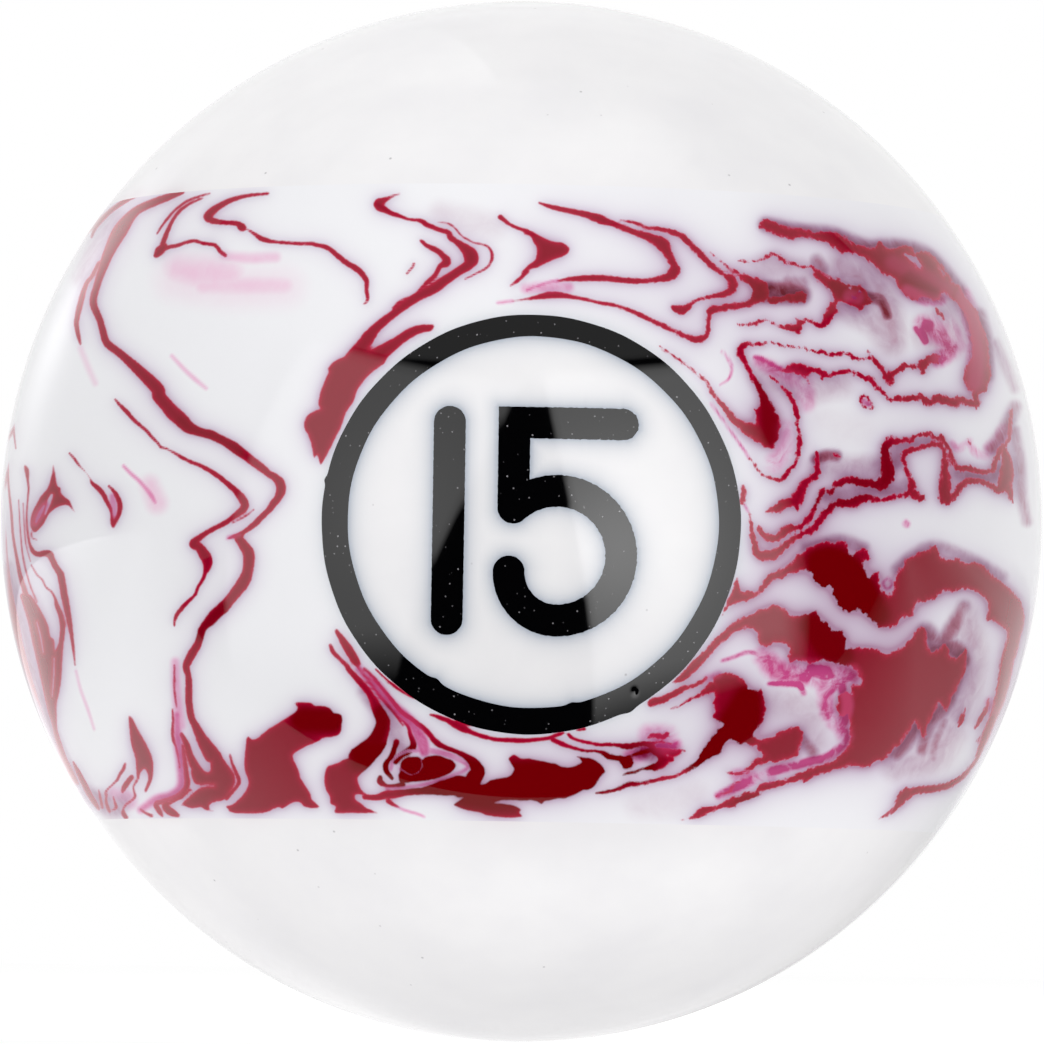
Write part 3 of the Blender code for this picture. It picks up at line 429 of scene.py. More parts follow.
# Pools: the outline of each, across and up.
POOLS = [
    # beside and above the ring
    [(-8.05, 10.85), (-8.6, 10.4), (-9, 9.9), (-9.5, 9.35), (-9.75, 9.05), (-10.2, 8.85), (-10.6, 8.45),
     (-10.6, 8.2), (-10.8, 7.7), (-11, 7.2), (-11.15, 6.5), (-11.05, 6.2), (-11.3, 6.1), (-11.75, 5.8),
     (-11.95, 5.25), (-11.7, 4.7), (-11.5, 4.1), (-11.4, 3.5), (-11.2, 3.65), (-11.05, 3.15),
     (-10.9, 3.25), (-10.55, 3.9), (-10.35, 4.3), (-10.15, 4.7), (-9.9, 5.2), (-9.6, 6), (-9.2, 6.6),
     (-9, 7.2), (-8.4, 8), (-7.9, 8.4), (-7.5, 8.7), (-7.3, 9.05), (-6.9, 9.4), (-6.3, 9.9), (-5.6, 10.3),
     (-5, 10.45), (-4.8, 10.65), (-4.85, 10.8), (-5.5, 10.8), (-6.2, 10.6), (-7, 10.1), (-8.3, 9.45),
     (-8.1, 9.9), (-7.9, 10.3)],
    [(.4, 16), (.9, 15.75), (1.4, 15.5), (1.9, 15.35), (2.3, 15.3), (2.65, 14.95), (2.4, 14.6),
     (2, 14.45), (1.4, 14.2), (.9, 13.95), (.4, 13.8), (.15, 13.6), (0, 13.7), (.4, 14.1), (.75, 14.4),
     (.85, 14.8), (.8, 15.1), (.6, 15.4), (.5, 15.65), (.1, 15.8)],
    [(12.6, 13.2), (13.4, 13.2), (13.55, 12.8), (13.6, 12.4), (13.3, 12.1), (12.8, 12), (12.6, 12.15),
     (12.7, 12.6)],
    # upper right
    [(14.2, 12.35), (14.6, 12.5), (15, 12.5), (15.3, 12.6), (15.6, 12.45), (15.65, 12.1), (15.3, 12),
     (14.8, 12.05), (14.4, 12.1), (13.9, 11.95), (13.6, 12), (13.5, 12.3)],
    [(15.95, 14), (16.5, 13.7), (16.8, 13.45), (17.1, 13.35), (17.4, 13.35), (17.6, 13.15), (17.85, 13),
     (18.2, 12.98), (18.6, 12.95), (18.85, 12.8), (18.95, 12.55), (19.05, 12.3), (19.25, 12.15),
     (19.3, 12), (18.85, 11.85), (18.7, 11.6), (18.55, 11.5), (18.4, 11.7), (18.1, 11.85), (17.6, 12.05),
     (17.3, 12), (17.25, 11.8), (17.4, 11.5), (17.15, 11.3), (16.9, 10.95), (16.6, 11.05), (16.5, 11.3),
     (16.75, 11.6), (17, 12), (17.15, 12.1), (17.1, 12.3), (17, 12.6), (16.6, 13), (16.3, 13.2),
     (16.1, 13.45)],
    [(15.05, 11.2), (15.3, 11.1), (15.6, 11), (15.45, 10.8), (15.35, 10.5), (15.25, 10.3), (15.1, 10.35),
     (14.8, 10.45), (14.5, 10.55), (14.2, 10.65), (14, 10.8), (14.5, 10.8), (14.8, 10.85), (15.05, 10.8),
     (15.15, 10.95)],
    [(20.1, 8.35), (20.3, 8.25), (20.6, 8.4), (20.9, 8.6), (21.05, 8.75), (21.3, 8.6), (21.5, 8.65),
     (21.7, 8.6), (21.85, 8.9), (22.1, 8.95), (22.35, 9.15), (22.9, 9.15), (22.9, 8.7), (22.7, 8.65),
     (22.4, 8.65), (22.25, 8.4), (22.2, 8.1), (22, 8.05), (21.9, 8.25), (21.6, 8.35), (21.1, 8.45),
     (20.9, 8.2), (20.6, 8.1), (20.4, 7.75), (20.25, 7.55), (20, 7.7)],
    [(13.1, 16.35), (13.3, 16.6), (13.8, 16.5), (14.2, 16.3), (14.6, 16.15), (15.2, 16.1), (15.7, 16),
     (16.1, 15.9), (16.7, 15.95), (17.3, 15.85), (17.7, 15.65), (18, 15.42), (18.5, 15.2), (19, 15.05),
     (19.35, 15.05), (19.5, 15.25), (19.7, 15.4), (19.9, 15.2), (20.2, 14.95), (20.75, 15.1),
     (21.15, 15.15), (21.4, 15.05), (21.6, 14.75), (22, 14.85), (22.5, 14.65), (22.8, 14.35),
     (23.05, 14.1), (23.3, 13.75), (23.55, 13.4), (23.65, 13.15), (24.05, 12.9), (24.2, 12.6),
     (24.5, 12.2), (24.8, 11.8), (25, 11.6), (25.1, 11.2), (25.3, 10.7), (25.5, 10.2), (25.65, 9.7),
     (25.65, 9.2), (25.7, 8.6), (25.8, 8.1), (25.6, 7.5), (25.55, 7.15), (25.15, 6.95), (25.05, 6.3),
     (24.95, 6.15), (24.75, 6.8), (24.75, 7.1), (24.55, 7.2), (24.4, 7.5), (24.25, 7.8), (24.35, 8.2),
     (24.4, 8.5), (24.7, 9), (24.75, 9.5), (24.7, 10), (24.6, 10.5), (24.5, 10.9), (24.35, 11.3),
     (24.2, 11.6), (24, 11.8), (23.85, 12.05), (23.6, 12.2), (23.25, 12.55), (23, 12.45), (22.95, 12.15),
     (22.4, 12.2), (22.2, 12.3), (21.9, 12.3), (21.65, 12.1), (21.2, 12.35), (21, 12.5), (20.6, 13.05),
     (20.45, 13.35), (19.9, 13.55), (19.4, 14), (19, 14.35), (18.7, 14.5), (18.1, 14.75), (17.6, 14.75),
     (17.2, 15), (16.7, 15.3), (16, 15.5), (15.3, 15.6), (14.9, 15.45), (14.2, 15.65), (13.8, 15.75),
     (13.6, 15.9), (13.1, 16.1)],
    # right of the ring
    [(13.1, 7), (13.4, 6.9), (13.6, 6.6), (13.85, 6.3), (13.95, 6), (14.1, 5.8), (14.2, 5.5), (14.2, 5.1),
     (14.15, 4.8), (14.1, 4.5), (13.9, 4.35), (13.85, 4.05), (13.65, 4), (13.4, 4.1), (13, 4.3),
     (12.6, 4.55), (12.2, 4.8), (11.9, 5.1), (11.6, 5.4), (11.5, 5.6), (11.75, 5.75), (12, 5.55),
     (12.3, 5.45), (12.6, 5.45), (12.85, 5.4), (12.88, 5.6), (12.9, 5.8), (12.8, 6.05), (12.7, 6.2),
     (12.95, 6.15), (13.05, 6.3), (13.08, 6.6)],
    [(11.85, -3.05), (11.95, -3.5), (12.15, -3.8), (12.5, -3.95), (12.9, -3.9), (13.1, -3.75), (13, -4),
     (12.6, -4.25), (12.2, -4.4), (11.7, -4.5), (11.35, -4.75), (11.1, -5), (11, -5.15), (11.3, -4.4),
     (11.6, -3.7)],
    [(15, -2), (15.4, -1.75), (15.7, -1.5), (16, -1.35), (16.3, -1.2), (16.6, -1.1), (16.95, -1.15),
     (17.2, -1.2), (17.4, -1.1), (17.7, -1.1), (17.85, -1.25), (17.9, -1.5), (18, -1.75), (18.15, -1.85),
     (18.3, -1.75), (18.5, -1.55), (18.8, -1.5), (19, -1.65), (19.1, -1.9), (19.15, -2.1), (19, -2.2),
     (18.85, -2.15), (18.75, -2.3), (18.75, -2.55), (18.9, -2.7), (19, -2.95), (19.1, -3.1),
     (19.3, -2.85), (19.6, -2.8), (19.65, -3.1), (19.7, -3.5), (19.8, -3.8), (20.05, -4.05),
     (20.25, -3.95), (20.4, -3.6), (20.5, -3.2), (20.6, -2.9), (20.75, -2.6), (20.95, -2.5), (21, -2.2),
     (21.2, -2), (21.5, -1.9), (21.8, -1.75), (22.1, -1.65), (22.4, -1.5), (22.6, -1.35), (22.75, -1.35),
     (22.9, -1.7), (23.05, -1.95), (23.4, -2.1), (23.7, -2.05), (24, -2), (24.2, -2.2), (24.5, -2.3),
     (24.8, -2.2), (25.1, -2.3), (25.4, -2.45), (25.7, -2.8), (25.95, -3.05), (26.2, -3.15),
     (26.5, -3.45), (26.8, -3.7), (27.1, -4), (27.35, -4.3), (27.5, -4.6), (27.6, -5.2), (27.55, -5.8),
     (27.4, -6.3), (27.25, -7), (27, -7.8), (26.9, -8.4), (26.7, -9.2), (26.5, -9.9), (26.2, -10.6),
     (25.9, -11.3), (25.6, -12), (25.3, -12.6), (25, -13.2), (24.7, -13.6), (24.3, -14.1), (23.9, -14.4),
     (23.5, -14.65), (23, -14.8), (22.4, -14.9), (21.8, -14.95), (21.4, -15.1), (21.1, -15.4),
     (20.8, -15.7), (20.4, -16), (20, -16.2), (19.6, -16.3), (20.2, -15.9), (20.5, -15.5), (20.6, -15.1),
     (20.8, -14.8), (21.1, -14.6), (21.35, -14.65), (21.5, -14.6), (21.8, -14.55), (22.2, -14.5),
     (22.7, -14.45), (23.1, -14.4), (23.5, -14.25), (23.9, -14.05), (24.3, -13.75), (24.6, -13.4),
     (24.85, -13.1), (25, -12.6), (25.15, -12.1), (25.35, -11.5), (25.6, -10.9), (25.8, -10.3),
     (25.95, -9.7), (26.1, -9), (26.2, -8.3), (26.3, -7.6), (26.5, -6.9), (26.65, -6.3), (26.65, -6.05),
     (26.45, -5.8), (26.1, -5.6), (25.85, -5.4), (25.65, -5.5), (25.55, -5.3), (25.6, -4.9), (25.6, -4.5),
     (25.4, -4.2), (25.1, -3.95), (24.8, -3.8), (24.4, -3.7), (24, -3.75), (23.7, -3.9), (23.3, -3.8),
     (23, -3.95), (22.7, -4.2), (22.4, -4.3), (22.1, -4.45), (21.8, -4.4), (21.65, -4.6), (21.55, -4.9),
     (21.4, -5.2), (21.15, -5.25), (21, -5.2), (20.8, -5.45), (20.5, -5.75), (20.1, -5.82), (19.7, -5.8),
     (19.5, -5.6), (19.2, -5.4), (19, -5.15), (18.75, -5), (18.5, -4.8), (18.2, -4.95), (17.9, -4.95),
     (17.6, -4.8), (17.4, -4.6), (17.3, -4.3), (17.1, -4), (17, -3.55), (16.6, -3.55), (16.4, -3.55),
     (16.15, -3.35), (16, -3.1), (16.05, -2.9), (15.85, -2.75), (15.6, -2.65), (15.4, -2.5), (15, -2.65)],
    # lower right
    [(12.8, -5), (13.1, -4.85), (13.5, -4.7), (13.8, -4.6), (14.1, -4.6), (14.4, -4.75), (14.6, -5),
     (14.8, -5.15), (15.2, -5.15), (15.6, -5.1), (15.9, -5), (16.1, -4.95), (16.3, -5.1), (16.5, -5.4),
     (16.8, -5.6), (17, -5.9), (17.3, -6.05), (17.6, -6), (17.75, -6.3), (17.8, -6.7), (17.8, -7),
     (18.3, -6.95), (18.7, -6.95), (19.1, -6.95), (19.4, -7), (19.7, -7.1), (19.95, -7.3), (20.3, -7.2),
     (20.6, -7.1), (20.9, -6.9), (21.1, -6.7), (21.4, -6.4), (21.6, -6.1), (21.8, -5.8), (22, -5.75),
     (22.2, -5.95), (22.25, -6.4), (22.3, -6.9), (22.5, -7.15), (22.8, -7.1), (23, -6.9), (23.2, -6.7),
     (23.4, -6.9), (23.5, -7.3), (23.7, -7.5), (24, -7.4), (24.2, -7.2), (24.4, -7), (24.45, -7.4),
     (24.4, -8), (24.25, -8.5), (24, -8.9), (23.9, -9.2), (23.6, -9.7), (23.4, -10.3), (23.2, -10.4),
     (22.95, -9.9), (22.7, -10.4), (22.5, -10.8), (22.3, -11.2), (22.1, -11.9), (21.9, -11.6),
     (21.75, -11.2), (21.6, -11), (21.3, -11.5), (21, -11.9), (20.8, -12.2), (20.5, -12.4), (20.2, -12.8),
     (19.9, -13.1), (19.5, -13.15), (19.2, -13.4), (18.8, -13.5), (18.4, -13.45), (18, -13.4),
     (17.6, -13.55), (17.2, -13.65), (16.9, -13.75), (16.5, -13.85), (16, -14.05), (15.6, -14.3),
     (15.3, -14.2), (14.8, -14.35), (14.2, -14.55), (13.6, -14.7), (13.15, -14.85), (13.1, -15),
     (12.8, -15.15), (12.5, -15.3), (12, -15.4), (11.75, -15.55), (11.7, -15.7), (10.9, -15.75),
     (10.6, -15.9), (10.2, -16.05), (9.8, -16.25), (9.3, -16.35), (8.7, -16.4), (9.2, -16.25),
     (9.5, -16.05), (9.75, -15.8), (9.9, -15.65), (10.2, -15.65), (10.7, -15.6), (11.1, -15.4),
     (11.4, -15.2), (11.8, -15.1), (12.2, -14.9), (12.6, -14.85), (12.9, -14.75), (13, -14.5),
     (13.2, -14.4), (13.6, -14.3), (14.1, -14.2), (14.5, -14.15), (15, -13.9), (15.5, -13.7), (16, -13.5),
     (16.5, -13.35), (17, -13.2), (17.3, -13), (17.6, -12.7), (17.9, -12.4), (18, -12), (18.05, -11.4),
     (18, -11), (17.9, -10.6), (17.6, -10.7), (17.35, -10.5), (17.3, -10.2), (17.35, -9.9), (17.4, -9.6),
     (17.6, -9.4), (17.9, -9.3), (18.15, -9.5), (18.1, -9.2), (18.3, -8.95), (18.6, -9), (18.65, -8.7),
     (18.5, -8.4), (18.3, -8.1), (17.9, -7.9), (17.6, -7.8), (17.3, -7.8), (17, -7.7), (16.6, -7.6),
     (16.3, -7.65), (16, -7.8), (15.8, -7.9), (15.7, -7.7), (15.4, -7.65), (15, -7.65), (14.7, -7.65),
     (14.68, -7.3), (14.75, -7), (14.6, -6.8), (14.4, -6.65), (14.2, -6.7), (13.9, -6.65), (13.6, -6.85),
     (13.35, -6.85), (13.1, -6.7), (12.98, -6.4), (12.95, -6.1), (12.8, -5.95), (12.5, -5.85),
     (12.2, -5.95)],
    [(10.5, -8.7), (10.8, -8.4), (11.1, -8.3), (11.5, -8.35), (11.9, -8.5), (12.2, -8.75), (12.4, -9),
     (12.5, -9.2), (12.9, -9.3), (13.15, -9.2), (13.25, -9.5), (13.35, -9.9), (13.4, -10.2),
     (13.3, -10.6), (13.25, -10.95), (13, -11.2), (12.8, -11.5), (12.7, -11.75), (12.9, -11.95),
     (13.3, -11.95), (13.8, -11.8), (14.2, -11.55), (14.6, -11.4), (15.05, -11.2), (15.3, -11.35),
     (15.5, -11.6), (15.4, -12), (15.3, -12.4), (15.15, -12.8), (14.8, -13), (14.4, -13.1), (14, -13.25),
     (13.7, -13.2), (13.4, -13), (13.2, -12.7), (12.95, -12.55), (12.9, -12.3), (12.6, -12.3),
     (12.3, -12.1), (12, -12.2), (11.7, -12), (11.3, -12), (11.1, -12.3), (10.9, -12.7), (10.5, -12.9),
     (10.2, -13.1), (9.9, -13.3), (9.5, -13.5), (9.2, -13.75), (9, -13.85), (9, -13.7), (9.4, -13.4),
     (9.75, -13.05), (10, -12.6), (10.2, -12.2), (10.4, -11.9), (10.7, -11.6), (11, -11.35),
     (11.1, -11.15), (11, -11), (10.8, -10.95), (10.6, -10.85), (10.5, -10.7), (10.55, -10.5),
     (10.65, -10.3), (10.5, -10), (10.6, -9.8), (10.65, -9.5), (10.6, -9.4)],
    [(24.4, -10.2), (24.35, -10.6), (24.3, -10.9), (24.05, -11.25), (23.95, -11.2), (24, -10.8),
     (24.2, -10.5)],
    [(5.4, -13.1), (5.8, -12.95), (6.1, -12.95), (6.15, -13.3), (5.95, -13.55), (5.6, -13.55),
     (5.45, -13.35)],
    # below the ring
    [(-.7, -13), (-.4, -12.8), (0, -13), (.4, -13), (.9, -13.1), (1.4, -13.2), (1.9, -13.3),
     (2.2, -13.45), (2.7, -13.48), (3.1, -13.35), (3.3, -13.2), (3.2, -13), (3.05, -12.9), (3.4, -12.95),
     (3.8, -13), (4.2, -13.2), (4.5, -13.5), (4.6, -13.75), (4.4, -13.95), (4.2, -14.2), (4, -14.55),
     (3.7, -14.7), (3.4, -14.75), (3.1, -14.9), (2.8, -15.05), (2.4, -15.2), (2, -15.2), (1.6, -15.3),
     (1.3, -15.35), (1.1, -15.5), (.9, -15.4), (.6, -15.3), (.1, -15.32), (-.5, -15.3), (-1.1, -15.32),
     (-1.5, -15.45), (-.9, -15.5), (-.4, -15.6), (-.05, -15.8), (-.1, -16), (.05, -16.2), (-.4, -16.25),
     (-1, -16.25), (-1.8, -16.15), (-2.3, -15.98), (-3, -15.85), (-3.4, -15.7), (-3.7, -15.55),
     (-3.4, -15.3), (-3.2, -15.15), (-3.6, -15.1), (-3, -14.5), (-2.6, -14.35), (-2.4, -14.42),
     (-2, -14.4), (-1.7, -14.2), (-1.2, -14.1), (-.7, -14), (-.5, -13.8), (-.4, -13.55), (-.6, -13.25)],
    [(-6.6, -13.2), (-6.3, -12.95), (-5.9, -12.9), (-5.6, -12.95), (-5.45, -13.1), (-5.3, -12.95),
     (-4.9, -12.85), (-4.5, -12.85), (-4.1, -13), (-3.8, -13.1), (-3.6, -13.35), (-3.7, -13.6),
     (-3.9, -13.8), (-4.3, -14), (-4.8, -14.15), (-5.4, -14.25), (-6, -14.3), (-6.6, -14.35),
     (-6.75, -14), (-6.65, -13.6)],
    # lower left
    [(-10.65, -13.45), (-10.2, -13.3), (-9.8, -13.1), (-9.4, -12.95), (-9, -12.85), (-8.4, -12.8),
     (-8, -13), (-8.2, -13.3), (-8.5, -13.6), (-8.8, -13.85), (-9, -14.1), (-8.9, -14.5), (-8.7, -14.8),
     (-8.5, -15), (-9.1, -15), (-9.1, -15.3), (-8.8, -15.6), (-8.5, -15.9), (-8.1, -16.1), (-7.95, -16.6),
     (-9.2, -16.8), (-10.2, -16.7), (-10.2, -16.1), (-10.5, -15.6), (-10.5, -15.2), (-10.7, -14.8),
     (-10.8, -14.4), (-10.8, -13.9)],
    [(-12.45, -9.95), (-12.1, -9.92), (-11.6, -9.95), (-11.3, -10.1), (-10.9, -10.12), (-10.5, -10.25),
     (-10.3, -10.5), (-10, -10.55), (-9.85, -10.7), (-9.85, -11.1), (-9.9, -11.5), (-10.1, -11.75),
     (-10.5, -11.85), (-10.9, -11.9), (-11.2, -12.1), (-11.7, -12.3), (-12.2, -12.55), (-12.5, -12.75),
     (-12.55, -12.95), (-12.4, -13.3), (-12.2, -13.7), (-12.1, -14.1), (-11.85, -14.5), (-11.6, -14.9),
     (-11.5, -15.3), (-11.2, -15.7), (-11.1, -15.9), (-11.5, -15.95), (-11.9, -15.85), (-12.1, -15.6),
     (-12.3, -15.5), (-12.7, -15.65), (-13.1, -15.95), (-13.4, -16.15), (-14.2, -16.8), (-15.8, -16.8),
     (-16.1, -16), (-16.2, -15.8), (-15.9, -15.7), (-15.6, -15.4), (-15.3, -15), (-15.05, -14.6),
     (-15, -14.2), (-15.15, -13.8), (-15.2, -13.5), (-15.2, -13), (-15.15, -12.5), (-15.1, -12),
     (-15, -11.8), (-14.8, -11.95), (-14.5, -11.9), (-14.2, -11.65), (-13.9, -11.4), (-13.5, -11.15),
     (-13.1, -10.9), (-12.7, -10.65), (-12.4, -10.45), (-12.3, -10.2)],
    [(-17.1, -12.6), (-16.6, -12.6), (-16.3, -13.1), (-16, -13.5), (-15.75, -13.9), (-15.7, -14.3),
     (-15.95, -14.8), (-16.2, -15.2), (-16.4, -15.4), (-16.8, -15.5), (-17.1, -15.7), (-17.1, -16),
     (-16.9, -16.4), (-17.3, -16.35), (-17.6, -16.15), (-18.1, -15.95), (-18.6, -15.75), (-18.65, -15.65),
     (-18.3, -15.2), (-17.9, -14.8), (-17.6, -14.5), (-17.9, -14.4), (-18.1, -14), (-18.1, -13.5),
     (-17.6, -13.6), (-17.1, -13.7)],
    [(-21.55, -10.65), (-21.3, -10.9), (-21, -11.5), (-20.7, -12), (-20.45, -12.5), (-20.25, -13),
     (-20.2, -13.6), (-20.25, -14.1), (-20.4, -14.5), (-20.6, -14.85), (-20.7, -14.75), (-20.5, -14.2),
     (-20.55, -13.8), (-20.7, -13.6), (-20.9, -13.8), (-21, -14.2), (-21.1, -14.1), (-21.15, -13.6),
     (-21.2, -13), (-21.4, -12.3), (-21.5, -11.6), (-21.55, -11)],
    # left edge
    [(-25.7, 3.1), (-25.6, 2.7), (-25.55, 2.3), (-25.45, 1.95), (-25.3, 1.85), (-25.25, 1.55), (-25, 1.3),
     (-24.8, 1.15), (-24.7, .9), (-24.5, .5), (-24.75, .75), (-24.95, .9), (-25.3, .85), (-25.6, .7),
     (-25.85, .5), (-26.05, .2), (-26.2, -.1), (-26.4, -.35), (-26.7, -.6), (-26.9, -.4), (-26.95, 0),
     (-26.85, .5), (-26.65, .9), (-26.4, 1.35), (-26.1, 1.7), (-25.95, 1.95), (-25.85, 2.3),
     (-25.75, 2.7)],
    [(-27, -4), (-26.6, -4.5), (-26.2, -5.2), (-25.95, -5.8), (-25.85, -6.3), (-25.65, -6.5), (-25.6, -7),
     (-25.5, -7.3), (-25.35, -6.8), (-25.3, -6.2), (-25.35, -5.5), (-25.2, -5.3), (-25, -5.6),
     (-25.1, -6.2), (-25.15, -7), (-25.2, -7.8), (-25.25, -8.6), (-25.35, -9.3), (-25.5, -10),
     (-25.5, -10.8), (-25.45, -11.5), (-25.2, -12.3), (-24.95, -13), (-24.6, -13.7), (-24.3, -14.4),
     (-24.5, -14.3), (-24.9, -13.5), (-25.3, -12.7), (-25.6, -11.9), (-25.8, -11), (-26.1, -10.2),
     (-26.3, -9.3), (-26.5, -8.4), (-26.7, -7.4), (-26.9, -6.4), (-27.1, -5.5), (-27.4, -4.5),
     (-27.5, -4)],
]

# Pale lines: threads of white left inside the dye, with their width.
PALE = [
    [(21.1, 14.65, .1), (21.5, 14.4, .3), (21.8, 14.1, .25), (21.9, 13.95, .1)],
    [(22.9, 14, .06), (23.2, 13.5, .06)],
    [(-6.6, -13.6, .03), (-6.3, -13.8, .04), (-6, -13.9, .04), (-5.65, -13.75, .04), (-5.45, -13.45, .04),
     (-5.5, -13.15, .03)],
    [(-6.9, -13.9, .1), (-7.2, -13.6, .12), (-7.2, -13.3, .12), (-6.95, -13, .12), (-6.6, -12.75, .15),
     (-6.2, -12.6, .15), (-5.7, -12.6, .2), (-5.3, -12.55, .3), (-4.9, -12.6, .3), (-4.4, -12.7, .25),
     (-3.9, -12.85, .25), (-3.4, -13.05, .25), (-3.1, -13.25, .2), (-2.95, -13.5, .18),
     (-3.2, -13.75, .1), (-3.6, -13.9, .1), (-3.9, -14, .12), (-4.4, -14.15, .12), (-5, -14.3, .12),
     (-5.6, -14.5, .15), (-6.2, -14.6, .15), (-6.8, -14.65, .12), (-7.4, -14.65, .1)],
    [(-18.7, -15.5, .08), (-18.3, -15, .1), (-17.9, -14.7, .1), (-17.4, -14.5, .08), (-16.9, -14.5, .06)],
    [(-25.78, 1.45, .12), (-25.9, 1.15, .2), (-26.02, .8, .15), (-26.15, .4, .08)],
    [(-26.2, .85, .1), (-26.45, .4, .2), (-26.65, -.05, .1)],
    [(-26.6, -5.5, .03), (-26.4, -6.3, .06), (-26.25, -7.2, .03)],
    [(-25.65, -7.5, .03), (-25.68, -8.6, .06), (-25.75, -9.6, .03)],
    [(-27.35, -4.7, .03), (-27, -6.2, .08), (-26.6, -8, .12), (-26.2, -9.8, .12), (-25.75, -11.6, .08)],
    [(20.1, -2.3, .5), (20.08, -3, .6), (20.1, -3.4, .75), (20.15, -3.7, .6)],
    [(18.05, 12.85, .12), (18.06, 12.84, .12)],
    [(18.6, 12.6, .1), (18.61, 12.6, .1)],
    [(18.2, 12.3, .15), (18.4, 12.25, .15)],
]

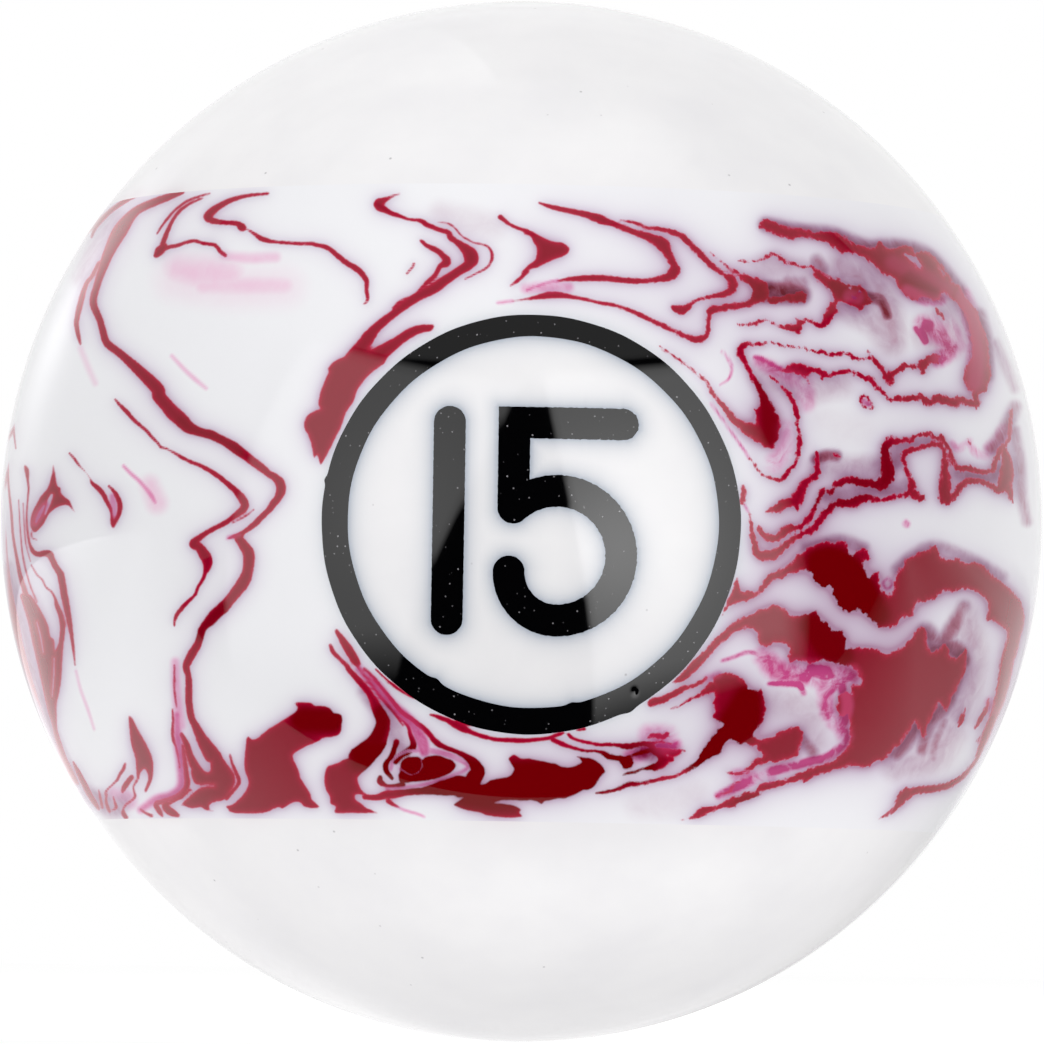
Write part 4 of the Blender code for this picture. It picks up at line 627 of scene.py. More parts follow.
# Pink: thin dye that only tints the white. Strength, softness of its edge, then across, up and width.
PINK = [
    (.25, .3, [(-24.2, 9.5, 0), (-23.8, 8.5, .02), (-23.4, 7.6, 0)]),
    (.4, .5, [(-16.3, 14.55, 0), (-15, 14.45, .05), (-13.5, 14.5, 0)]),
    (.38, 1.4, [(-18.8, 13.8, 0), (-17.4, 13.6, .2), (-16, 13.5, 0)]),
    (.35, .9, [(-17.5, 12.95, 0), (-15.5, 12.95, .1), (-13, 12.95, 0)]),
    (.15, 1.8, [(-19, 13.2, .1), (-16, 12.9, .3), (-13, 12.9, .1)]),
    (.5, .16, [(-19.2, 9.1, 0), (-18.5, 8.35, .05), (-17.9, 7.8, .07), (-17.3, 7.3, 0)]),
    (.95, .12, [(.3, 12.7, .05), (.8, 12.9, .06), (1.4, 13.1, .08), (2, 13.2, .1)]),
    (.7, .12, [(-1.3, 12, .03), (-.5, 12.1, .05)]),
    (.5, .4, [(.2, 12.8, .1), (1.3, 12.85, .2), (2.6, 12.85, .1)]),
    (1.5, .4, [(18, 12.4, .2), (18.5, 12.3, .2)]),
    (1, .6, [(22, 10.9, .1), (22.6, 10.6, .2), (22.9, 10.3, .3), (23.3, 9.9, .2), (23.6, 9.5, .1),
     (23.2, 9.1, .2), (22.9, 8.95, .2)]),
    (1.6, .25, [(21.7, 10.6, .1), (22, 10.25, .15), (22.15, 9.9, .1)]),
    (1.2, .2, [(21.8, 10.9, .05), (22.4, 10.95, .1), (22.6, 10.7, .05)]),
    (.45, 1.1, [(22.7, 10.6, .3), (23.4, 10.2, .4), (23.8, 9.8, .2)]),
    (1, .4, [(21.2, 12.7, .2), (22.2, 12.3, .4), (23, 12.2, .2)]),
    (.9, .6, [(24.2, 12.4, .2), (24.8, 10.8, .3), (25, 9, .4), (24.9, 7.6, .3)]),
    (1.2, .15, [(12.8, 9, .08), (13.1, 8.95, .1), (13.5, 8.75, .1), (13.9, 8.55, .12), (14.2, 8.4, .12)]),
    (.8, .5, [(13, 8.75, .05), (13.8, 8.35, .2), (14.7, 8, .1)]),
    (.5, .8, [(14.6, 8, .1), (15.5, 7.5, .2), (15.6, 6.6, .1)]),
    (1, .1, [(18.8, 6.6, .2), (19.05, 6.45, .2)]),
    (.45, .8, [(14.4, 5, .1), (14.5, 4, .2), (13.9, 3.2, .1)]),
    (.8, .12, [(13.5, 3.3, 0), (13.8, 3.22, .05), (14, 3.2, .05), (14.2, 3.35, .05), (14.4, 3.7, 0)]),
    (.7, .1, [(10.4, 6.5, .03), (10.9, 5.8, .03), (11.4, 5.1, .04), (12.2, 3.95, .04), (12.5, 3.5, .04)]),
    (.7, .1, [(11, 9.35, 0), (11.3, 9, .05), (11.55, 8.5, .06), (11.4, 7.85, .05), (10.9, 7.5, 0)]),
    (.8, .1, [(12.25, .9, .04), (12.45, .55, .04)]),
    (.9, .25, [(21.1, -.1, .1), (21.16, -.15, .1)]),
    (.7, .3, [(24.5, 4.3, 0), (25, 3.75, .1), (25.5, 3.6, .1)]),
    (.6, .3, [(23.6, 4.3, 0), (24, 4, .1), (24.6, 4.4, 0)]),
    (.6, .5, [(25.7, 4, .1), (26.2, 4.4, .2), (26.5, 5, .1)]),
    (1.1, .15, [(11, -7.65, .03), (11.5, -7.5, .05), (12, -7.3, .06), (12.3, -7.2, .08),
     (12.7, -7.2, .08), (13, -7.35, .08)]),
    (1, .8, [(13.3, -7.4, .1), (14, -8.1, .3), (15.2, -8.2, .4), (16.2, -8.4, .4), (17.2, -8.4, .4),
     (18, -8.4, .2)]),
    (1.2, .2, [(13.6, -8.9, 0), (14.5, -8.9, .1), (15.2, -8.95, .12), (15.5, -9.4, .1)]),
    (1.4, .3, [(15.8, -8, .1), (16.8, -8.2, .15), (17.2, -8.9, .15), (16.7, -9.6, .1)]),
    (1.3, .35, [(17.6, -9, .2), (17.9, -10, .3), (17.7, -11, .2)]),
    (.95, .6, [(16.7, -8.8, .3), (16.7, -9.6, .2), (16.9, -10.6, .2), (17.5, -11.2, .15),
     (17.8, -11.8, .1)]),
    (1.3, .3, [(17.8, -11.5, .1), (17.8, -12.1, .15), (17.3, -12.6, .15), (16.8, -12.95, .15),
     (16.2, -13.1, .15), (15.4, -13.3, .15), (14.6, -13.5, .15), (13.8, -13.7, .2), (13.1, -14, .15),
     (12.4, -14.3, .2), (11.6, -14.7, .15), (10.8, -15.05, .05)]),
    (.7, .5, [(11.8, -13.9, .1), (12.6, -14, .2), (13.6, -14.1, .1)]),
    (.6, .3, [(25.7, -9.9, .2), (25.9, -10.4, .2)]),
    (.6, .3, [(10.2, -8.6, .05), (10.8, -8.4, .1)]),
    (.6, .4, [(7.3, -12, .1), (7.9, -12, .2)]),
    (1, .3, [(-8.9, -8.1, .1), (-8, -9, .3), (-7.2, -10, .3), (-6.5, -10.6, .3), (-5.9, -11.2, .3),
     (-5.5, -12, .4), (-5.3, -12.6, .3)]),
    (.7, .1, [(-6.9, -15.6, .04), (-6.4, -15.85, .05), (-5.7, -16.05, .05), (-5.35, -16.2, .03)]),
    (.6, .4, [(-19, -7.7, 0), (-18.95, -9, .05), (-18.85, -10.2, .1), (-18.7, -11.2, .1)]),
    (1, .35, [(-18.9, -10.6, .05), (-18.85, -12, .1), (-18.7, -13.4, .1), (-18.7, -14.5, .1),
     (-19.2, -15, .1), (-20, -15.3, .1), (-20.5, -15.7, .05), (-20.9, -16.05, 0)]),
    (.9, .25, [(-26.15, .9, .2), (-26.45, .4, .35), (-26.7, -.1, .2)]),
    (.7, .12, [(-7.2, -13.6, .1), (-6.95, -13, .1), (-6.2, -12.6, .1), (-5.3, -12.55, .2),
     (-4.4, -12.7, .2), (-3.4, -13.05, .2), (-2.95, -13.5, .1), (-3.9, -14, .1), (-5.6, -14.5, .1),
     (-7.4, -14.65, .1)]),
    (.9, .15, [(-6.6, -13.6, .08), (-6, -13.9, .08), (-5.65, -13.75, .08), (-5.5, -13.15, .08)]),
    (.9, .6, [(6, -12.9, .1), (7.2, -12.5, .2), (8.4, -12.3, .1)]),
    (.6, .8, [(7, -11.7, .1), (8, -11.7, .1)]),
    (.4, .14, [(-24.45, -8.2, 0), (-24.2, -9.2, .02), (-23.8, -10.3, .03), (-23.45, -11.4, 0)]),
    (.7, .2, [(-22.45, 1.4, .1), (-22.4, .9, .2), (-22.35, .3, .1)]),
    (.9, .14, [(-21.85, 3.05, 0), (-21.4, 2.6, .04), (-21, 2.25, .06), (-20.6, 1.8, .1),
     (-20.3, 1.4, .14), (-20.1, 1.05, .05)]),
    (.35, .8, [(-20.4, 2, .1), (-20, 1, .2)]),
    (.8, .15, [(-15.5, -.75, .1), (-16.1, -.9, .06)]),
    (.9, .1, [(20.1, -3.1, .05), (19.85, -3.4, .05), (20.1, -3.7, .05), (20.35, -3.4, .05),
     (20.1, -3.1, .05)]),
    (.5, .5, [(-22.4, -14.9, .1), (-21.6, -15.2, .2), (-21.4, -15.6, .1)]),
    (.55, .6, [(20.4, 14.2, .2), (22, 13.5, .3), (23.4, 12.7, .3)]),
]

# Smoke: dye spread thin and dark through the white. Strength, softness, then across, up and width.
SMOKE = [
    (.95, .8, [(13.4, 12.6, .2), (14.6, 12.6, .3), (15.3, 12.5, .1)]),
    (.5, .7, [(14.6, 13.1, .1), (15.4, 13.1, .1)]),
    (.9, .5, [(18.9, 12.4, .1), (19.6, 12.2, .15), (19.9, 11.9, .1), (20.1, 11.3, .05)]),
    (.35, 1.2, [(17.5, 14, .1), (19.2, 13, .2), (20, 11.8, .2), (20.4, 10, .1)]),
    (.3, 1.2, [(18, 11.6, .1), (19.4, 11, .2), (20.3, 9.8, .1)]),
    (.22, 1.2, [(13.4, 13.9, .1), (15.6, 13.6, .1)]),
    (.5, .6, [(16.2, 14.3, .05), (16.6, 13.9, .1)]),
    (.5, .6, [(13.4, 16.3, .05), (15.2, 16, .05), (17, 15.8, .05), (19, 15.1, .1), (20.7, 15.1, .15),
     (22.3, 14.6, .1), (24, 12.8, .05)]),
    (.25, 1.3, [(13.4, 8, .1), (15.4, 7.3, .2), (17.4, 7.6, .1)]),
    (.25, 1.3, [(22.3, 10.4, .4), (23.6, 9.9, .4), (23.6, 11.4, .2)]),
    (.5, .5, [(25.2, 11.4, .05), (25.6, 9.6, .1), (25.6, 8, .05)]),
    (.8, .5, [(16.2, 3.4, .1), (16.8, 3.6, .1), (17.3, 3.55, .05)]),
    (.28, 1, [(16.4, 3, .1), (18.2, 2.9, .2), (19.4, 3, .1)]),
    (.35, .5, [(16.8, 1.3, .1), (18.4, 1.65, .1), (20.3, 1.75, .15), (21, 2, .1)]),
    (.35, .5, [(20.6, 3.2, .15), (20.9, 4.15, .1), (22.5, 4.45, .1)]),
    (.4, .5, [(24, 2.55, .1), (25.6, 2.4, .1), (26.3, 2.9, .15)]),
    (.5, .6, [(25.8, 4, .05), (26.5, 5, .1), (27.1, 6.3, 0)]),
    (.3, .5, [(26, 9.8, 0), (26.6, 8.5, .05), (27.1, 7.3, 0)]),
    (.45, .5, [(27.1, 5, 0), (27.35, 3.2, .1), (27.45, 1.6, .05), (27.75, 0, 0)]),
    (.6, .7, [(22.2, -6, .1), (23, -6.6, .1), (23.6, -6, .1), (24.3, -4.7, 0)]),
    (.7, .8, [(22.6, -7, .1), (23.8, -7, .2), (24.3, -7.6, .1)]),
    (.3, 1.2, [(24.4, -5.2, .1), (24.8, -7, .2), (24.6, -9, .2), (23.9, -10.6, .1)]),
    (.6, .7, [(23.9, -8.6, .1), (23.5, -9.8, .1), (22.9, -10.6, .1)]),
    (.55, .7, [(22.8, -10.4, .1), (22.2, -11.6, .1), (22, -12.6, 0)]),
    (.45, .5, [(23.2, -11, .05), (22.7, -12.2, .05), (22.6, -13, 0)]),
    (.6, .7, [(21.8, -11.2, .1), (21.2, -12, .15), (20.6, -12.8, .1)]),
    (.28, 1.2, [(23.6, -11.6, .2), (22.6, -13, .3), (20.6, -13.4, .2)]),
    (.22, 1.2, [(14, -10, .2), (15.6, -10.4, .3), (16, -12, .2)]),
    (.5, .5, [(6.5, -12.7, .1), (7.1, -12.9, .1)]),
    (.5, .6, [(15.3, -11.8, .05), (16, -12.6, .1)]),
    (.4, .5, [(15.6, -1.4, .05), (17.5, -1, .05), (18.8, -1.4, .05)]),
    (.35, .5, [(20.6, -2.6, .05), (21.4, -1.9, .05), (22.6, -1.3, .05), (24.6, -2, .05),
     (26.4, -3, .05)]),
    (.35, .4, [(-22.7, -15.4, .1), (-22.6, -15.9, .1)]),
    (.4, .5, [(-28.3, -2.5, .2), (-27.6, -6, .4), (-26.6, -9.6, .3), (-25.4, -12.6, .2),
     (-24.4, -14.4, .1)]),
    (.35, .7, [(-24, -14.9, .1), (-23, -15.5, .3), (-22.4, -16, .3), (-21.9, -15.5, .1)]),
    (.2, 1, [(-24, 13.4, .1), (-23.5, 14.8, .1), (-22.4, 16.6, .1)]),
    (.3, .6, [(-8.6, -9.4, .1), (-7.2, -11, .3), (-6.6, -12.4, .2)]),
    (.1, 1.1, [(-4.4, 16.9, .1), (-3, 16.5, .3), (-1.6, 16.2, .2)]),
    (.09, 1.2, [(6.5, -15.6, .2), (8, -15.5, .3), (9.4, -15, .2)]),
    (.05, 1.2, [(16.6, 5.6, .2), (17.5, 5.2, .3), (18.6, 5, .2)]),
]

# Dark dye and shade: where the dye looks almost black red, partly because it lies thickest and partly as
# painted shade where no lamp is mirrored in it. Strength, softness, then across, up and width.
DARK_DYE_AND_SHADE = [
    (1, .7, [(16.4, -2.2, .9), (17.3, -3, 2.4), (18.6, -4.2, 1.6), (19.6, -5.1, .6)]),
    (.9, .7, [(16, -5.7, .8), (17, -6.7, 1.4), (17.6, -7.4, .6)]),
    (1, .7, [(12.4, -9.8, 1), (12, -11, 1.6), (10.8, -12.1, 1), (9.6, -13.2, .6)]),
    (1, 1, [(-8.6, -12.8, 1), (-5.5, -13.6, 2), (-1.5, -14.5, 2), (3.5, -13.9, 1.6), (6.5, -13.2, 1.2)]),
    (.9, .7, [(-8.2, -12, .8), (-7.6, -10.6, .5)]),
    (.95, .6, [(-12, -10.9, .8), (-10.4, -10.9, .8)]),
    (.7, .5, [(13.7, 4.6, .4), (13.6, 6, .5), (13.2, 7.6, .3)]),
    (.6, .6, [(16.4, 1, .4), (18, 1.6, .8), (19.9, 2.4, .8), (20.1, 3.8, .4)]),
    (.5, .6, [(12.4, 12.6, .5), (13.6, 12.5, .5), (15.4, 12.3, .3)]),
    (.5, .5, [(17.2, 12.9, .3), (18.6, 12.4, .4), (19.2, 12, .2)]),
    (.5, .4, [(21.3, 13.4, .3), (22.6, 12.6, .3)]),
    (.6, .5, [(-16.4, -4.8, .3), (-17.6, -6.2, .3)]),
    (.3, .5, [(-15.5, 3.9, .3), (-18.6, 5.4, .3)]),
    (.5, .5, [(14.6, -15, .2), (12, -15.4, .2)]),
]

STEP = 0.05
across_line = np.arange(-29, 29, STEP)
up_line = np.arange(-19, 19, STEP)
sheet = (len(up_line), len(across_line))

LOW_LEFT = -8.4
LOW_DYE = -15.0
POOL_LEFT = -7.5
POOL_LOW = -15.85
LOWEST_POOL = -16.0


def drawn_up(points, closed):
    """Points with those low on the left moved up, so that the dye ends on the stripe: 0.78 of their way
    below 15 mm is left, and a pool's lowest edge rises by 0.2 mm more, to 16 mm at the lowest."""
    p = np.array(points, float)
    low = (p[:, 0] < LOW_LEFT) & (p[:, 1] < LOW_DYE)
    p[low, 1] = LOW_DYE + 0.78 * (p[low, 1] - LOW_DYE)
    if closed:
        lowest = (p[:, 0] < POOL_LEFT) & (p[:, 1] < POOL_LOW)
        p[lowest, 1] = np.maximum(p[lowest, 1] + 0.2, LOWEST_POOL)
    return p


def flowing(points, closed=False):
    """A smooth line through points: each span is the Catmull-Rom cubic of its two ends and their
    neighbours."""
    p = drawn_up(points, closed)
    if closed:
        p = np.vstack([p[-1:], p, p[:2]])
    else:
        p = np.vstack([2 * p[:1] - p[1:2], p, 2 * p[-1:] - p[-2:-1]])
    a, b, c, d = (p[i:len(p) - 3 + i, None] for i in range(4))
    t = np.linspace(0, 1, 6, endpoint=False)[None, :, None]
    line = b + t * (c - a + t * (2 * a - 5 * b + 4 * c - d + t * (3 * b - 3 * c + d - a))) / 2
    return np.vstack([line.reshape(-1, p.shape[1]), p[-2:-1]])


def beside(line, reach):
    """For each span of a line, the part of the sheet near it and its distance there from the span's
    edge."""
    for (ax, az, aw), (bx, bz, bw) in zip(line[:-1], line[1:]):
        margin = max(aw, bw) / 2 + reach
        columns = slice(*np.searchsorted(across_line, [min(ax, bx) - margin, max(ax, bx) + margin]))
        rows = slice(*np.searchsorted(up_line, [min(az, bz) - margin, max(az, bz) + margin]))
        x = across_line[columns] - ax
        z = up_line[rows, None] - az
        run = max((bx - ax) ** 2 + (bz - az) ** 2, 1e-9)
        t = np.clip((x * (bx - ax) + z * (bz - az)) / run, 0, 1)
        apart = np.hypot(x - t * (bx - ax), z - t * (bz - az))
        yield (rows, columns), apart - (aw + t * (bw - aw)) / 2


def pooled(outline):
    """Distance from a pool's outline over the sheet, negative inside, where a line across it is crossed
    oddly."""
    edge = flowing(outline, closed=True)
    apart = np.full(sheet, 0.6)
    for where, gap in beside(np.column_stack([edge, np.zeros(len(edge))]), 0.6):
        apart[where] = np.minimum(apart[where], gap)
    inside = np.zeros(sheet, bool)
    for (ax, az), (bx, bz) in zip(edge[:-1], edge[1:]):
        rows = slice(*np.searchsorted(up_line, sorted((az, bz))))
        meets = ax + (bx - ax) * (up_line[rows, None] - az) / (bz - az + 1e-12)
        inside[rows] ^= across_line < meets
    return np.where(inside, -apart, apart)


def spread(field, sigma):
    """A field blurred by a Gaussian of sigma millimetres, along its columns and then its rows."""
    reach = int(3 * sigma / STEP)
    steps = np.arange(-reach, reach + 1)
    weights = np.exp(-(steps * STEP / sigma) ** 2 / 2)
    weights /= weights.sum()
    for axis in (0, 1):
        field = sum(weight * np.roll(field, step, axis) for step, weight in zip(steps, weights))
    return field


dye = np.full(sheet, 0.6)
for vein in VEINS:
    for where, gap in beside(flowing(vein), 0.6):
        dye[where] = np.minimum(dye[where], gap)
for outline in POOLS:
    dye = np.minimum(dye, pooled(outline))
for thread in PALE:
    for where, gap in beside(flowing(thread), 0.3):
        dye[where] = np.maximum(dye[where], -gap)


def tinted(strokes):
    """The strongest tint over the sheet: full on a stroke, fading smoothly to nothing over its
    softness."""
    tint = np.zeros(sheet)
    for strength, softness, points in strokes:
        for where, gap in beside(flowing(points), softness):
            fade = np.clip(1 - gap / softness, 0, 1)
            tint[where] = np.maximum(tint[where], strength * fade * fade * (3 - 2 * fade))
    return tint


blush = tinted(PINK)
smoke = tinted(SMOKE)
dark_dye_and_shade = tinted(DARK_DYE_AND_SHADE)
# Painted shade: the dye's cover, blurred, darkens the white beside it lilac grey, more on the right and
# with a wider soft part from the middle to the right.
dye_cover = np.clip(0.5 - dye / 0.1, 0, 1)
painted_dye_shade = 0.5 * spread(dye_cover, 0.22) + 0.5 * spread(dye_cover, 0.6)
painted_dye_shade = painted_dye_shade * (1 + 0.6 * np.clip((across_line - 4) / 10, 0, 1))
wide = np.clip((across_line + 6) / 14, 0, 1) * (1 - 0.5 * np.clip((across_line - 20) / 4, 0, 1))
painted_dye_shade = painted_dye_shade + 0.48 * spread(dye_cover, 1.7) * wide
SHEETS = {"dye": dye, "painted_dye_shade": painted_dye_shade, "blush": blush, "smoke": smoke, "dark_dye_and_shade": dark_dye_and_shade}


def looked_up(field, across, up):
    """A sheet read between its points: the mean of the four round each place, weighted by nearness."""
    x = np.clip((across - across_line[0]) / STEP, 0, sheet[1] - 1.001)
    z = np.clip((up - up_line[0]) / STEP, 0, sheet[0] - 1.001)
    i = z.astype(int)
    j = x.astype(int)
    x = x - j
    z = z - i
    low = field[i, j] * (1 - x) + field[i, j + 1] * x
    high = field[i + 1, j] * (1 - x) + field[i + 1, j + 1] * x
    return low * (1 - z) + high * z


def on_ball(angle, height):
    """Points of the ball at an angle round the stripe from the front and a height on its axis."""
    girth = np.sqrt(np.maximum(BALL_RADIUS ** 2 - height ** 2, 0))
    return np.stack([girth * np.sin(angle), -girth * np.cos(angle), height], -1)


DRAWN_TO = 80
HAND_OVER = 12
NUMBER_DROP = 1.3


def marbled(points):
    """Dye, painted dye shade, blush, smoke, and dark dye with its painted shade at points of the ball. Past
    80 degrees from the front the veins trail off and give way to the same veins upside down, drawn out by a
    quarter and swayed by slow waves. The soft sheets of the far veins come in over a longer way than the
    dye."""
    angle = np.arctan2(points[:, 0], -points[:, 1])
    height = points[:, 2]
    turn = np.abs(np.degrees(angle))
    past = np.maximum(turn - DRAWN_TO, 0)
    trailing = (np.minimum(turn, DRAWN_TO) - 0.3 * past) * np.sign(angle)
    sway = 6 * np.clip((past - HAND_OVER) / 40, 0, 1) * np.sin(height / 4.3 + 0.6)
    drawn_out = 0.8 * np.minimum(180 - turn, 180 - DRAWN_TO) * np.sign(angle) + sway
    overturned = -height - 2 * NUMBER_DROP * (1 - (height / STRIPE_HALF) ** 2)
    wave = 2.5 * np.sin(height / 2.7 + 1) + 1.5 * np.sin(height / 1.1)
    near = seen_at(on_ball(np.radians(trailing), height))
    far = seen_at(on_ball(np.radians(drawn_out), overturned))
    gone = np.clip((turn + wave - DRAWN_TO - 2) / HAND_OVER, 0, 1)
    gone = gone * gone * (3 - 2 * gone)
    slower = np.clip((turn - DRAWN_TO - 2) / (3 * HAND_OVER), 0, 1)
    values = {}
    for name, field in SHEETS.items():
        come = gone if name in ("dye", "dark_dye_and_shade") else gone * slower
        values[name] = looked_up(field, *near) * (1 - gone) + looked_up(field, *far) * come
    return values


def marbled_paint(tree, place):
    """White resin with painted shade, lilac grey close to the dye and bluish grey beside the ring, smoky
    tints and pink that is patchy on the ball's right, under veins of burgundy whose edges are red, smooth
    on its left and frayed about 0.2 mm fine on its right, and near black red with painted shade where
    darkest.
    The fray is measured across the view, so it is less where the ball slants away. Gives the colour and how
    strongly it mirrors."""
    dye = add(tree, "ShaderNodeAttribute", attribute_name="dye")["Fac"]
    painted_dye_shade = add(tree, "ShaderNodeAttribute", attribute_name="painted_dye_shade")["Fac"]
    blush = add(tree, "ShaderNodeAttribute", attribute_name="blush")["Fac"]
    smoke = add(tree, "ShaderNodeAttribute", attribute_name="smoke")["Fac"]
    shade = add(tree, "ShaderNodeAttribute", attribute_name="shade")["Fac"]
    spot = add(tree, "ShaderNodeSeparateXYZ", {"Vector": place})
    fray = add(
        tree, "ShaderNodeMapRange",
        {"Value": spot["X"], "From Min": 2 * MM, "From Max": 15 * MM, "To Min": 0.08, "To Max": 0.42},
    )["Result"]
    outward = add(tree, "ShaderNodeMath", {0: spot["Y"]}, operation="ABSOLUTE")[0]
    slant = add(
        tree, "ShaderNodeMapRange", {"Value": outward, "From Max": 18 * MM, "To Min": 0.12, "To Max": 1.0}
    )["Result"]
    fray = add(tree, "ShaderNodeMath", {0: fray, 1: slant}, operation="MULTIPLY")[0]
    grain = add(
        tree, "ShaderNodeTexNoise", {"Vector": place, "Scale": 1 / (0.28 * MM), "Detail": 2.0}
    )["Fac"]
    grain = add(tree, "ShaderNodeMath", {0: grain, 1: 0.5}, operation="SUBTRACT")[0]
    edge = add(tree, "ShaderNodeMath", {0: grain, 1: fray, 2: dye}, operation="MULTIPLY_ADD")[0]

    # Painted shade: lilac grey in the white close to the dye.
    base = add(
        tree, "ShaderNodeValToRGB", {"Fac": painted_dye_shade},
        [(0, "#f0f0f3"), (0.2, "#ded8e3"), (0.45, "#c9b7cb"), (0.8, "#b08aa6")],
    )["Color"]
    # Painted shade: bluish grey in the white beside the black ring.
    base = add(
        tree, "ShaderNodeMix", {0: shade, 6: base, 7: linear("#b9bfc9")}, data_type="RGBA"
    )[2]
    mottle = add(
        tree, "ShaderNodeTexNoise",
        {"Vector": place, "Scale": 1 / (1.1 * MM), "Detail": 4.0, "Roughness": 0.6, "Distortion": 0.6},
    )["Fac"]
    uneven = add(
        tree, "ShaderNodeMapRange",
        {"Value": spot["X"], "From Min": -8 * MM, "From Max": 8 * MM, "To Min": 0.1, "To Max": 0.65},
    )["Result"]
    least = add(tree, "ShaderNodeMath", {0: 0.85, 1: uneven}, operation="SUBTRACT")[0]
    most = add(tree, "ShaderNodeMath", {0: 0.85, 1: uneven}, operation="ADD")[0]
    patchy = add(
        tree, "ShaderNodeMapRange",
        {"Value": mottle, "From Min": 0.3, "From Max": 0.7, "To Min": least, "To Max": most},
    )["Result"]
    pink = add(tree, "ShaderNodeMath", {0: blush, 1: patchy}, operation="MULTIPLY")[0]
    pink_tint = add(
        tree, "ShaderNodeValToRGB", {"Fac": pink},
        [(0, "#ffffff"), (0.35, "#fbd4e8"), (0.65, "#f3a6ca"), (1, "#e45a98")],
    )["Color"]
    base = add(
        tree, "ShaderNodeMix", {0: 1.0, 6: base, 7: pink_tint}, data_type="RGBA", blend_type="MULTIPLY"
    )[2]
    wisps = add(
        tree, "ShaderNodeMapRange",
        {"Value": mottle, "From Min": 0.3, "From Max": 0.7, "To Min": 0.7, "To Max": 1.25},
    )["Result"]
    haze = add(tree, "ShaderNodeMath", {0: smoke, 1: wisps}, operation="MULTIPLY")[0]
    haze_tint = add(
        tree, "ShaderNodeValToRGB", {"Fac": haze},
        [(0, "#ffffff"), (0.3, "#d9c2d0"), (0.6, "#b9788d"), (1, "#841c2e")],
    )["Color"]
    base = add(
        tree, "ShaderNodeMix", {0: 1.0, 6: base, 7: haze_tint}, data_type="RGBA", blend_type="MULTIPLY"
    )[2]

    depth = add(
        tree, "ShaderNodeMapRange", {"Value": edge, "From Min": -0.5, "From Max": 0.1}
    )["Result"]
    burgundy = add(
        tree, "ShaderNodeValToRGB", {"Fac": depth},
        [(0.2, "#8b0422"), (0.5, "#930628"), (0.65, "#a0092c"), (0.75, "#ae1236"), (0.83, "#bd2c54"),
         (0.9, "#d07296")],
    )["Color"]
    thin = add(tree, "ShaderNodeMath", {0: blush, 1: 0.6}, operation="MULTIPLY", use_clamp=True)[0]
    burgundy = add(
        tree, "ShaderNodeMix", {0: thin, 6: burgundy, 7: linear("#c23a68")}, data_type="RGBA"
    )[2]
    # Painted shade: near black red on the dye, partly thick dye and partly shade where no lamp is mirrored
    # in it.
    dark_dye_and_shade = add(tree, "ShaderNodeAttribute", attribute_name="dark_dye_and_shade")["Fac"]
    burgundy = add(
        tree, "ShaderNodeMix", {0: dark_dye_and_shade, 6: burgundy, 7: linear("#730005")}, data_type="RGBA"
    )[2]
    covered = add(
        tree, "ShaderNodeMapRange", {"Value": edge, "From Min": 0.06, "From Max": -0.05},
        interpolation_type="SMOOTHSTEP",
    )["Result"]
    colour = add(
        tree, "ShaderNodeMix", {0: covered, 6: base, 7: burgundy}, data_type="RGBA"
    )[2]
    mirror = add(tree, "ShaderNodeMapRange", {"Value": covered, "To Min": 0.3, "To Max": 0.5})["Result"]
    return colour, mirror


# Marbled phenolic: translucent dye under the same polish, so the eye gets deep burgundy with red
# edges, with painted shade in the white beside the dye and on the darkest dye.
MARBLED_RESIN = phenolic("marbled_phenolic", marbled_paint)


def joined(index):
    """Triangles between neighbouring rows of an index grid whose rows close on themselves."""
    a = index[:-1]
    b = np.roll(a, -1, 1)
    d = index[1:]
    c = np.roll(d, -1, 1)
    return np.concatenate([np.stack([a, b, c], -1), np.stack([a, c, d], -1)]).reshape(-1, 3)


def fanned(rim, hub):
    """Triangles from each edge of a closed rim to one hub point."""
    return np.stack([rim, np.roll(rim, -1), np.full(len(rim), hub)], -1)


def turned(points, degrees):
    """Points turned about the stripe's axis: x and y go round by the angle, z stays."""
    c, s = np.cos(np.radians(degrees)), np.sin(np.radians(degrees))
    return points @ np.array([[c, s, 0], [-s, c, 0], [0, 0, 1]])


def cast(name, points, faces, material, node, fields):
    """A closed solid of triangles, faced outwards by the sign of its volume, with its fields as
    attributes."""
    corners = points[faces]
    volume = np.einsum("ij,ij->", corners[:, 0], np.cross(corners[:, 1], corners[:, 2]))
    if volume < 0:
        faces = faces[:, ::-1]
    mesh = bpy.data.meshes.new(name)
    mesh.vertices.add(len(points))
    mesh.vertices.foreach_set("co", (points * MM).astype(np.float32).ravel())
    mesh.loops.add(faces.size)
    mesh.loops.foreach_set("vertex_index", faces.astype(np.int32).ravel())
    mesh.polygons.add(len(faces))
    mesh.polygons.foreach_set("loop_start", np.arange(0, faces.size, 3, dtype=np.int32))
    mesh.update(calc_edges=True)
    for field, values in fields.items():
        layer = mesh.attributes.new(field, "FLOAT", "POINT")
        layer.data.foreach_set("value", values.astype(np.float32))
    mesh.shade_smooth()
    mesh.set_sharp_from_angle(angle=np.radians(30))
    mesh.materials.append(material)
    piece = bpy.data.objects.new(name, mesh)
    bpy.context.collection.objects.link(piece)
    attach(piece, "root")
    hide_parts(node)
    return piece


